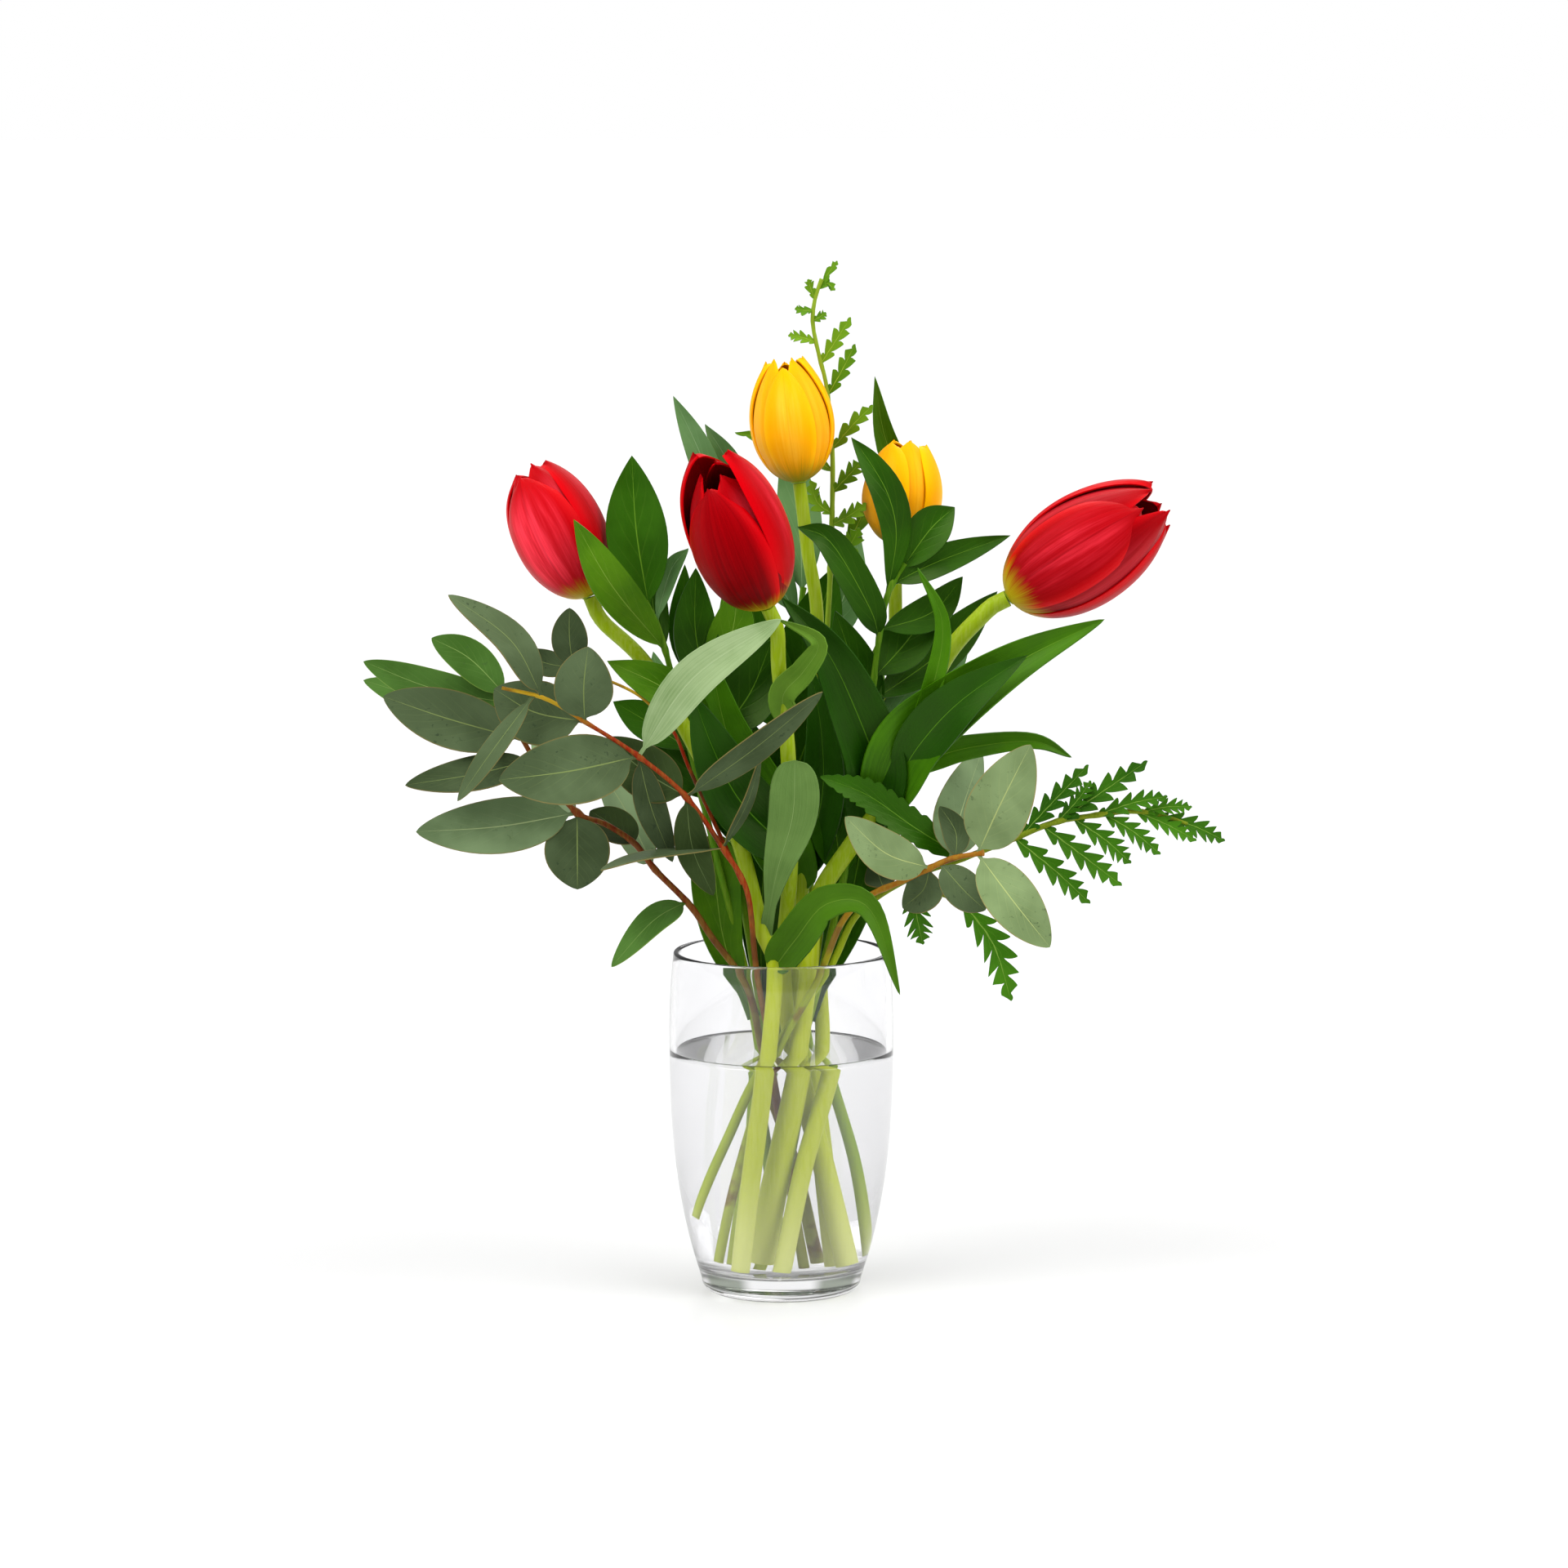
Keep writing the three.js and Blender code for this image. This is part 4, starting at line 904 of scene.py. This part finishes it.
def grow_petal(bloom, index, material):
    foot, top = in_metres([bloom["base"], bloom["top"]])
    axis = (top - foot).normalized()
    height = (top - foot).length
    front = (Vector((0, -1, 0)) + axis * axis.y).normalized()
    side = axis.cross(front)
    inner = index % 2
    middle = math.radians(bloom["turn"] + 60 * index)
    spread_angle = math.radians(PETAL_SPREAD if inner else bloom["spread"])
    closing = bloom["closing"] + INNER_CLOSING * inner
    phase = random.uniform(0, 6)
    covered = (60 - bloom["spread"]) / PETAL_SPREAD
    painted_shades = []
    piece = copy_of(petal_blank)
    for vertex in piece.data.vertices:
        across, share = vertex.co.x, (vertex.co.y + 1) / 2
        s = max(0.004, share / 2 + (1 - math.cos(math.pi * share)) / 4)
        # Painted shade: an inner petal is painted deeper near its edges, where an outer petal covers it,
        # fading towards the tip.
        under = min(1, max(0, (abs(across) - covered) / SHADE_EDGE + 1))
        painted_shades.append(inner * SHADE * (1 - s**3) * under)
        angle = middle + spread_angle * max(0, 1 - s**TIP_ROUNDING) ** 0.5 * across
        out = front * math.cos(angle) + side * math.sin(angle)
        tip = math.exp(-((across / TIP_WIDTH) ** 2)) + 0.5 * math.sin(7 * across + phase)
        rise = s * bloom["lengths"][index] - TIP_DROP * s**2 * across**2 + TIP_POINT * s**8 * tip
        radius = bloom["radius"] * MM * cup_radius(s, closing) * (1 - bloom["curl"] * s**TIP_ROUNDING)
        gap = WHORL_GAP * MM * min(1, 5 * s)
        radius -= gap if inner else gap * EDGE_TUCK * (1 + TIP_TUCK * s**3) * abs(across) ** 3
        radius -= GROOVE * MM * math.exp(-((across / GROOVE_WIDTH) ** 2)) * 4 * s * (1 - s)
        radius += WARP * MM * math.sin(9 * s + phase) * across**2
        vertex.co = foot + axis * (SEAT * MM + height * rise) + out * max(radius, 0.5 * MM)
    count = len(painted_shades)
    # A petal's sheen is the strength of its painted highlight.
    mark(piece, tone=[random.random()] * count, satin=[bloom["satin"][index]] * count, shade=painted_shades)
    piece.data.materials.append(material)
    thicken(piece, PETAL_THICKNESS)
    return piece


def grow_receptacle(bloom):
    """The small green knob at the end of the stem, from which the petals grow."""
    foot, top = in_metres([bloom["base"], bloom["top"]])
    axis = (top - foot).normalized()
    deselect()
    bpy.ops.mesh.primitive_cone_add(vertices=32, radius1=3.5 * MM, radius2=4.5 * MM, depth=3 * MM)
    piece = bpy.context.object
    in_edit(piece, lambda: bpy.ops.mesh.bevel(offset=0.6 * MM, segments=3))
    piece.rotation_euler = axis.to_track_quat("Z", "Y").to_euler()
    piece.location = foot + axis * 1.8 * MM
    bpy.ops.object.transform_apply(location=True, rotation=True, scale=True)
    bpy.ops.object.shade_smooth()
    piece.data.materials.append(stem_finishes["tulip"])
    return piece


def join(parts):
    pick(parts[0])
    for part in parts:
        part.select_set(True)
    bpy.ops.object.join()
    return bpy.context.object


# %% [markdown]
# ## Where everything grows
# The lists below hold what was arranged, in millimetres. A bloom gives its foot, its top and
# the radius of its cup. Closing says how far the cup closes, and curl how far the tips bend in. The
# first petal is turned from the front by a few degrees, the outer petals spread to each side by
# others, and each of the six has its own length and strength of painted highlight.

# %% The blooms
BLOOMS = {
    "red_front": {
        "base": (-6, -36, 312), "top": (-32, -58, 379), "radius": 22.6, "closing": 0.83, "curl": 0.35,
        "turn": -28, "spread": 60, "lengths": (0.84, 0.88, 0.98, 0.93, 1, 0.9),
        "satin": (0, 0.9, 0.9, 0.3, 0.1, 0.2),
    },
    "red_left": {
        "base": (-84.5, -4, 313), "top": (-112.5, 0, 369), "radius": 21, "closing": 0.82, "curl": 0.35,
        "turn": -22, "spread": 60, "lengths": (0.95, 1, 0.98, 0.96, 0.98, 0.97),
        "satin": (1.2, 1, 0.5, 1, 1, 1),
    },
    "red_right": {
        "base": (100, -9, 313), "top": (168, -14, 357), "radius": 25, "closing": 0.84, "curl": 0.25,
        "turn": -14, "spread": 49, "lengths": (0.87, 0.98, 0.93, 0.96, 0.98, 0.96),
        "satin": (0.6, 0.4, 0.5, 0.7, 0.7, 0.7),
    },
    "yellow_top": {
        "base": (8, 15, 362), "top": (1, 17, 416), "radius": 19, "closing": 0.87, "curl": 0.1,
        "turn": -4, "spread": 39, "lengths": (0.93, 0.99, 0.99, 0.97, 0.98, 1),
        "satin": (0.9, 0.4, 0.5, 0.5, 0.5, 0.6),
    },
    "yellow_right": {
        "base": (52, 36, 332), "top": (55, 40, 377.5), "radius": 18.5, "closing": 0.85, "curl": 0.1,
        "turn": -35, "spread": 46, "lengths": (0.97, 1, 0.97, 1, 1, 0.97),
        "satin": (0.5, 0.5, 0.5, 0.5, 0.5, 0.5),
    },
}

# %% [markdown]
# Each plant begins with its name, the finish of its stems and its kind of leaf. A stem gives the
# radius at its foot and at its tip, and its route from the foot up. A leaf gives its greatest width
# and its midrib from root to tip. Where it is needed, it also gives how far it rolls about its midrib
# in degrees, another kind than its plant's, or another finish than its kind's.

# %% How the table is written
PLANTS = []


def plant(name, finish, kind):
    PLANTS.append({"name": name, "finish": finish, "kind": kind, "stems": [], "leaves": []})


def stem(foot_radius, tip_radius, *route, flare=0):
    PLANTS[-1]["stems"].append(((foot_radius, tip_radius), flare, route))


def leaf(width, *midrib, kind=None, roll=0, face=FACE_OUT, finish=None):
    kind = kind or PLANTS[-1]["kind"]
    facts = {"kind": kind, "width": width, "midrib": midrib, "roll": roll, "face": face}
    PLANTS[-1]["leaves"].append({**facts, "finish": finish or kind["finish"]})


def back_leaf(*facts):
    leaf(*facts, face=FACE_BACK)


# %% [markdown]
# The three red tulips lean forward and outwards. Each has two or more long leaves that clasp its stem,
# and one of them hooks over the rim of the vase.

# %% The red tulips
plant("red_front", "tulip", TULIP)
stem(3.6, 3.3, (22, 3, 14), (14, 1, 60), (5, -1, 107), (1, 0, 147), (4, -12, 194), (3, -21, 245),
    (-1, -30, 283), flare=0.15)
leaf(12, (3, -24, 260), (1, -32, 273), (10, -38, 284), (16, -40, 297), (-1, -40, 307), finish="tulip_under")
leaf(28, (4, -13, 200), (-18, -22, 224), (-30, -26, 248), (-39, -24, 272), finish="tulip_dark")

plant("red_left", "tulip", TULIP)
stem(3.8, 3.3, (-16, -17, 13), (-11, -19, 60), (-6, -22, 107), (-3, -18, 149), (-9, -16, 167),
    (-20, -17, 209), (-39, -15, 249), (-60, -10, 284))
leaf(17, (-4, -19, 148), (6, -29, 163), (20, -40, 181), (39, -50, 180), (52, -62, 144), finish="tulip_mid")
leaf(22, (-8, -16, 162), (-2, -27, 193), (5, -33, 219), (6, -33, 244), kind=SPOON)

plant("red_right", "tulip", TULIP)
stem(4.2, 3.8, (-8, -4, 18), (-1, -9, 60), (7, -13, 107), (12, -13, 146), (16, -10, 178), (32, -9, 204),
    (53, -9, 234), (70, -9, 282), flare=0.35)
leaf(27, (38, -9, 212), (42, -12, 236), (32, -14, 266), (19, -17, 292), (0, -21, 315), finish="tulip_dark")
leaf(30, (45, -9, 219), (55, -15, 246), (73, -20, 264), (105, -26, 287), (142, -30, 306))
leaf(23, (50, -9, 229), (61, -20, 249), (79, -31, 270), (108, -37, 291), finish="tulip_dark", kind=BROAD)
leaf(9, (53, -9, 234), (66, -20, 272), (71, -22, 303), (60, -22, 328))
leaf(12, (53, -9, 234), (68, -2, 241), (85, -4, 246), (112, -8, 249), (129, -8, 242))

# %% [markdown]
# The eucalyptus spreads low to both sides, on twigs that bend under the weight of their leaves. The
# longest twig forks, so it has two stems.

# %% The eucalyptus
plant("eucalyptus_left_long", "red_twig", GUM)
stem(1.7, 0.8, (7, 10, 14), (2, -1, 60), (-4, -11, 107), (-11, -19, 148), (-15, -26, 184), (-25, -29, 203),
    (-42, -34, 228), (-63, -41, 247), (-85, -46, 262), (-103, -48, 273), (-122, -50, 278))
stem(1, 0.6, (-17, -27, 188), (-31, -24, 218), (-41, -24, 240), (-48, -23, 256), (-62, -24, 271),
    (-80, -26, 280), (-93, -28, 285))
leaf(31, (-63, -41, 247), (-92, -55, 242), (-123, -62, 239))
leaf(19, (-63, -41, 247), (-38, -62, 284), (0, -76, 311), roll=20, finish="tulip_silver")
leaf(26, (-85, -46, 262), (-86, -56, 280), (-84, -58, 297))
leaf(29, (-85, -46, 262), (-108, -40, 266), (-126, -37, 276))
leaf(18, (-103, -48, 273), (-118, -52, 299), (-145, -52, 319), roll=30)
leaf(10, (-109, -49, 274), (-127, -60, 250), (-141, -64, 230), roll=10)
leaf(16, (-42, -34, 228), (-11, -50, 252), (18, -56, 277), roll=50)
leaf(24, (-42, -34, 228), (-60, -27, 238), (-78, -20, 252), finish="gum_dusky")
leaf(22, (-25, -29, 203), (-59, -44, 202), (-79, -54, 198), roll=70)
leaf(8, (-25, -29, 203), (-15, -38, 226), (-9, -42, 247), roll=60)
leaf(15, (-42, -34, 228), (-39, -31, 204), (-30, -28, 183), finish="gum_dusky")
leaf(14, (-63, -41, 247), (-57, -33, 222), (-48, -28, 198))
leaf(16, (-93, -28, 285), (-93, -31, 298), (-93, -30, 311))
leaf(12, (-90, -28, 284), (-104, -24, 286), (-114, -22, 291))

plant("eucalyptus_left_low", "brown_twig", GUM)
stem(2, 1, (10, 20, 16), (4, 12, 60), (-8, -3, 107), (-15, -14, 139), (-31, -12, 162), (-41, -14, 177),
    (-56, -17, 193), (-65, -19, 205), (-78, -21, 214), (-90, -23, 219), (-104, -26, 236), (-114, -28, 253),
    (-122, -29, 275))
leaf(14, (-41, -14, 177), (-57, -26, 171), (-75, -34, 152), roll=20, finish="gum_young")
leaf(25, (-90, -23, 219), (-125, -30, 214), (-161, -32, 212), finish="gum_under")
leaf(29, (-90, -23, 219), (-90, -30, 202), (-90, -30, 186))
leaf(20, (-65, -19, 205), (-75, -12, 212), (-85, -8, 218), roll=30, finish="gum_dusky")
leaf(26, (-114, -28, 253), (-146, -32, 262), (-175, -32, 272))
leaf(18, (-108, -27, 243), (-135, -36, 238), (-165, -42, 234), roll=20)
leaf(17, (-120, -29, 268), (-154, -18, 274), (-185, -10, 285), finish="gum_young")
leaf(17, (-122, -29, 275), (-137, -26, 288), (-154, -24, 297), finish="gum_young")
leaf(18, (-119, -29, 266), (-151, -6, 266), (-186, 4, 275), finish="gum_young")
back_leaf(24, (-56, -17, 193), (-70, 20, 215), (-84, 48, 232))
back_leaf(22, (-90, -23, 219), (-100, 10, 232), (-112, 34, 250))

plant("eucalyptus_right", "orange_twig", GUM)
stem(2, 1.1, (-23, -7, 17), (-15, -10, 60), (-3, -16, 107), (16, -21, 144), (27, -14, 169), (39, -16, 181),
    (55, -21, 189), (74, -28, 199), (89, -34, 203))
leaf(28, (89, -34, 203), (96, -46, 226), (109, -50, 253), finish="gum_pale")
leaf(23, (89, -34, 203), (102, -46, 183), (118, -48, 163), finish="gum_pale")
leaf(20, (65, -25, 194), (46, -36, 203), (28, -42, 220), finish="gum_pale")
leaf(17, (70, -27, 197), (81, -36, 186), (90, -38, 178))
leaf(20, (65, -25, 194), (63, -18, 184), (54, -12, 175), roll=20)
leaf(12, (77, -29, 199), (77, -25, 211), (70, -22, 222))
leaf(14, (46, -18, 185), (44, -6, 187), (41, 2, 194))
back_leaf(24, (74, -28, 199), (80, -8, 218), (90, 30, 240))

# %% [markdown]
# The two yellow tulips stand straighter, behind the red ones.

# %% The yellow tulips
plant("yellow_right", "tulip", TULIP)
stem(3.5, 3, (0, -14, 13), (8, -12, 60), (18, -3, 107), (18, 15, 146), (27, 15, 190), (39, 18, 230),
    (50, 28, 273))
back_leaf(26, (29, 15, 194), (36, 44, 222), (40, 66, 250), (44, 78, 284))

plant("yellow_top", "tulip", TULIP)
stem(3.3, 2.9, (16, 13, 14), (13, 11, 60), (9, 12, 107), (7, 6, 145), (10, 9, 191), (14, 12, 249),
    (16, 15, 301), (12, 15, 330))
leaf(28, (10, 8, 180), (-10, 2, 221), (-24, 2, 251), (-32, 4, 287))
leaf(20, (10, 9, 187), (18, 3, 222), (18, 2, 250), (13, 5, 282), finish="tulip_dark")

# %% [markdown]
# A frond of fern arches out at the right, with rows of leaflets above and below its midrib, which get
# shorter towards the tip.

# %% The fern at the right
plant("fern_right", "fern_twig", PINNA)
stem(2, 1, (-33, -8, 36), (-20, -8, 70), (-5, -6, 107), (21, -6, 146), (34, -4, 171), (56, -6, 187),
    (80, -12, 197), (102, -14, 206), (121, -16, 214), (138, -16, 217), (156, -16, 219), (168, -15, 217),
    (180, -14, 213))
stem(1.3, 0.9, (56, -6, 187), (70, -14, 182), (85, -20, 177))
leaf(11, (108, -15, 209), (121, -17, 224), (136, -18, 240))
leaf(12, (122, -16, 214), (142, -19, 228), (162, -20, 242))
leaf(9, (124, -16, 214), (131, -18, 224), (137, -19, 233))
leaf(10, (140, -16, 217), (156, -18, 223), (171, -19, 226))
leaf(8, (160, -16, 218), (171, -17, 221), (182, -17, 221))
leaf(12, (104, -14, 207), (122, -18, 192), (137, -19, 178))
leaf(12, (115, -15, 212), (134, -18, 199), (151, -19, 186))
leaf(11, (130, -16, 215), (144, -18, 206), (155, -19, 196))
leaf(10, (142, -16, 217), (156, -18, 210), (168, -19, 200))
leaf(9, (157, -16, 218), (171, -17, 213), (184, -18, 206))
leaf(10, (168, -15, 217), (183, -14, 212), (197, -12, 205))
leaf(16, (80, -18, 178), (94, -22, 160), (102, -24, 135))
leaf(13, (56, -8, 186), (60, -10.5, 172), (63, -9, 158))
leaf(16, (80, -12, 197), (59, -18.7, 212), (38, -22.3, 227), (17, -28, 236), finish="broad", kind=SAW)

# %% [markdown]
# The broad leaves fill the middle of the bunch. Three stems of them stand between the tulips, and one
# leaf of each reaches down into the vase.

# %% The broad leaves
plant("broad_left", "green_twig", BROAD)
stem(2.1, 1.2, (0, 22, 18), (-4, 9, 60), (-10, 4, 107), (-16, 2, 144), (-28, -2, 193), (-42, -6, 252),
    (-51, -11, 289), (-55, -13, 302), (-60, -12, 312))
leaf(27, (-60, -12, 312), (-64, -9, 343), (-66, -5, 376))
leaf(18, (-52, -12, 291), (-74, -28, 320), (-91, -30, 350), finish="broad_light")
leaf(8, (-55, -13, 302), (-49, -8, 325), (-41, -6, 335), finish="broad_under")
leaf(13, (-52, -12, 291), (-57, -2, 310), (-56, 2, 327))
leaf(17, (-40, -7, 243), (-59, 4, 256), (-75, 8, 265))
leaf(24, (-35, -5, 222), (-44, 6, 242), (-50, 10, 268))
leaf(22, (-13, 3, 122), (-26, 0, 160), (-31, 2, 206), finish="broad_light", kind=SPOON)
back_leaf(22, (-36, -5, 225), (-50, 30, 250), (-58, 56, 282))

plant("broad_right", "green_twig", BROAD)
stem(2.1, 1.2, (-7, 6, 13), (2, 5, 60), (9, 6, 107), (18, -1, 144), (29, 3, 192), (38, 6, 239),
    (42, 8, 282), (47, 7, 312), (55, 7, 327))
leaf(15, (47, 7, 312), (51, 5, 338), (48, 4, 356), (40, 5, 371), (31, 8, 383))
leaf(19, (55, 7, 327), (66, 6, 342), (77, 8, 352))
leaf(14, (49, 7, 318), (70, 6, 328), (102, 12, 339))
leaf(15, (44, 8, 294), (39, 2, 308), (22, -2, 337), (7, 0, 344))
leaf(16, (45, 8, 298), (67, 16, 304), (81, 18, 320))
leaf(22, (42, 8, 276), (56, 16, 291), (68, 20, 308))
leaf(20, (41, 7, 265), (71, 24, 285), (97, 32, 312))
leaf(14, (49, 7, 318), (66, 40, 322), (60, 62, 345), (47, 62, 378), (42, 54, 407), finish="broad_light")
leaf(24, (28, 3, 185), (24, 6, 214), (26, 8, 246))
leaf(24, (14, 3, 121), (29, 7, 168), (40, 14, 222), finish="broad", kind=SPOON)
leaf(22, (39, 7, 250), (34, 14, 275), (24, 16, 305))
back_leaf(22, (40, 7, 255), (68, 32, 270), (86, 52, 290))

plant("broad_middle", "green_twig", BROAD)
stem(2.1, 1.2, (-9, 18, 20), (-9, 17, 60), (-8, 16, 107), (-12, 9, 143), (-21, 8, 198), (-29, 8, 250),
    (-31, 9, 276), (-26, 12, 308), (-20, 16, 341))
leaf(20, (-30, 9, 265), (-38, 5, 295), (-38, 7, 325))
leaf(20, (-31, 9, 274), (-22, 3, 296), (-19, 0, 319), finish="broad_light")
leaf(19, (-29, 8, 250), (-50, -20, 273), (-77, -16, 286), finish="broad_light")
leaf(14, (-30, 9, 265), (-43, 12, 294), (-43, 13, 326))
leaf(13, (-22, 14, 330), (-34, 14, 370), (-48, 14, 401), finish="broad_under")
leaf(12, (-20, 16, 341), (-22, 19, 366), (-34, 20, 388), finish="broad_under")
leaf(24, (-21, 8, 200), (-22, 15, 228), (-24, 20, 262))
leaf(26, (-29, 8, 250), (-14, 14, 268), (-4, 16, 292))
leaf(24, (-9, 14, 118), (-9, 12, 165), (-6, 14, 222), finish="broad", kind=SPOON)

# %% [markdown]
# A young fern is the highest point of the bunch. It has small leaflets, and smaller ones where its tip
# is still opening.

# %% The tall fern
plant("fern_top", "fern_green", LEAFLET)
stem(2, 0.8, (27, 10, 18), (22, 14, 60), (13, 16, 107), (10, 19, 145), (16, 28, 210), (20, 34, 284),
    (22, 34, 321), (23, 34, 365), (22, 33, 387), (20, 32, 405), (17, 31, 417), (14, 30, 432), (15, 29, 443),
    (18, 28, 452))
leaf(4, (18, 28, 452), (22, 28, 456), (25, 28, 460), kind=BUD_LEAF)
leaf(5, (17, 28, 450), (20, 28, 450), (24, 27, 447), kind=BUD_LEAF)
leaf(5, (15, 29, 445), (13, 28, 448), (12, 27, 452), kind=BUD_LEAF)
leaf(5, (14, 29, 437), (10, 27, 438), (6, 26, 439), kind=BUD_LEAF)
leaf(5, (14, 30, 432), (17, 28, 435), (20, 27, 437), kind=BUD_LEAF)
leaf(6, (15, 30, 425), (9, 28, 426), (3, 27, 427))
leaf(8, (17, 31, 414), (24, 29, 424), (31, 28, 435))
leaf(8, (20, 32, 400), (27, 30, 411), (33, 29, 423))
leaf(8, (22, 33, 378), (32, 28, 387), (41, 26, 396))
leaf(8, (23, 34, 368), (5, 46, 376), (-21, 48, 382))
leaf(9, (23, 34, 358), (30, 30, 364), (36, 28, 371))
leaf(9, (22, 34, 340), (30, 28, 346), (38, 26, 352))
leaf(9, (22, 34, 345), (16, 32, 352), (13, 31, 362))
leaf(10, (22, 34, 322), (30, 28, 332), (35, 26, 341))
leaf(10, (22, 34, 321), (32, 46, 336), (40, 56, 352))

# %% [markdown]
# The photograph shows nothing of the back, so one more stem of broad leaves closes the bunch there.

# %% The broad leaves at the back
plant("broad_back", "green_twig", BROAD)
stem(2.1, 1.3, (-16, 2, 16), (-10, 11, 60), (-2, 12, 107), (-2, 16, 145), (-2, 32, 210), (3, 48, 264),
    (10, 58, 311))
back_leaf(24, (-2, 32, 210), (-20, 60, 235), (-30, 88, 262))
back_leaf(24, (0, 38, 230), (22, 66, 250), (34, 92, 270))
back_leaf(24, (3, 48, 264), (-14, 72, 290), (-24, 90, 322))
back_leaf(22, (5, 50, 275), (26, 72, 300), (36, 86, 332))
back_leaf(20, (10, 58, 311), (8, 74, 342), (2, 82, 376))
back_leaf(18, (8, 55, 298), (-8, 60, 325), (-16, 64, 352))
leaf(30, (-2, 24, 180), (-7, 28, 214), (-12, 30, 252))
leaf(28, (-2, 32, 210), (12, 31, 246), (20, 30, 284))
leaf(26, (0, 42, 245), (-8, 40, 275), (-14, 38, 310))
leaf(26, (3, 48, 264), (14, 46, 290), (24, 44, 322))

print(len(PLANTS), "plants with", sum(len(each["leaves"]) for each in PLANTS), "leaves")

# %% [markdown]
# ## Growing the bouquet
# Each plant is put together as it grew: its stems first, then its leaves, each rooted on the nearest
# place of a stem. A tulip's stem runs straight into its bloom for the last stretch. The parts are then
# joined into one piece, because a stem with its leaves is one body, and the piece stands for its solid.

# %% Grow the blooms
NECK = 12
random.seed(7)

for name, bloom in BLOOMS.items():
    hue = name.split("_")[0]
    petals = [grow_petal(bloom, index, PETALS[hue]) for index in range(6)]
    stand_for(join([*petals, grow_receptacle(bloom)]), f"{name}_bloom")


# %% Grow the stems and leaves
def stem_route(name, points):
    """A stem's points in metres, with a tulip's run into its bloom added."""
    route = in_metres(points)
    if name in BLOOMS:
        base, top = in_metres([BLOOMS[name]["base"], BLOOMS[name]["top"]])
        axis = (top - base).normalized()
        route += [base - axis * NECK * MM, base]
    return route


def nearest(places, point):
    return min(places, key=lambda place: (place - point).length_squared)


for facts in PLANTS:
    name, finish = facts["name"], facts["finish"]
    joints = [] if name in BLOOMS else in_metres([each["midrib"][0] for each in facts["leaves"]])
    parts, centres = [], []
    for radii, flare, points in facts["stems"]:
        stalk, places = grow_stem(stem_route(name, points), radii, flare, finish, joints)
        parts.append(stalk)
        centres += places[1:-1]
    for each in facts["leaves"]:
        midrib = in_metres(each["midrib"])
        midrib[0] = nearest(centres, midrib[0]).copy()
        parts.append(lay_leaf(each, midrib, random.random()))
    title = f"{name}_stem" if name in BLOOMS else name
    stand_for(join(parts), title)

# %% [markdown]
# ## Putting the blanks away
# The flat grids have done their work and are deleted, so that only the object and its floor are left.

# %% Clear the blanks
for blank in [petal_blank, *[kind["blank"] for kind in KINDS]]:
    bpy.data.objects.remove(blank)
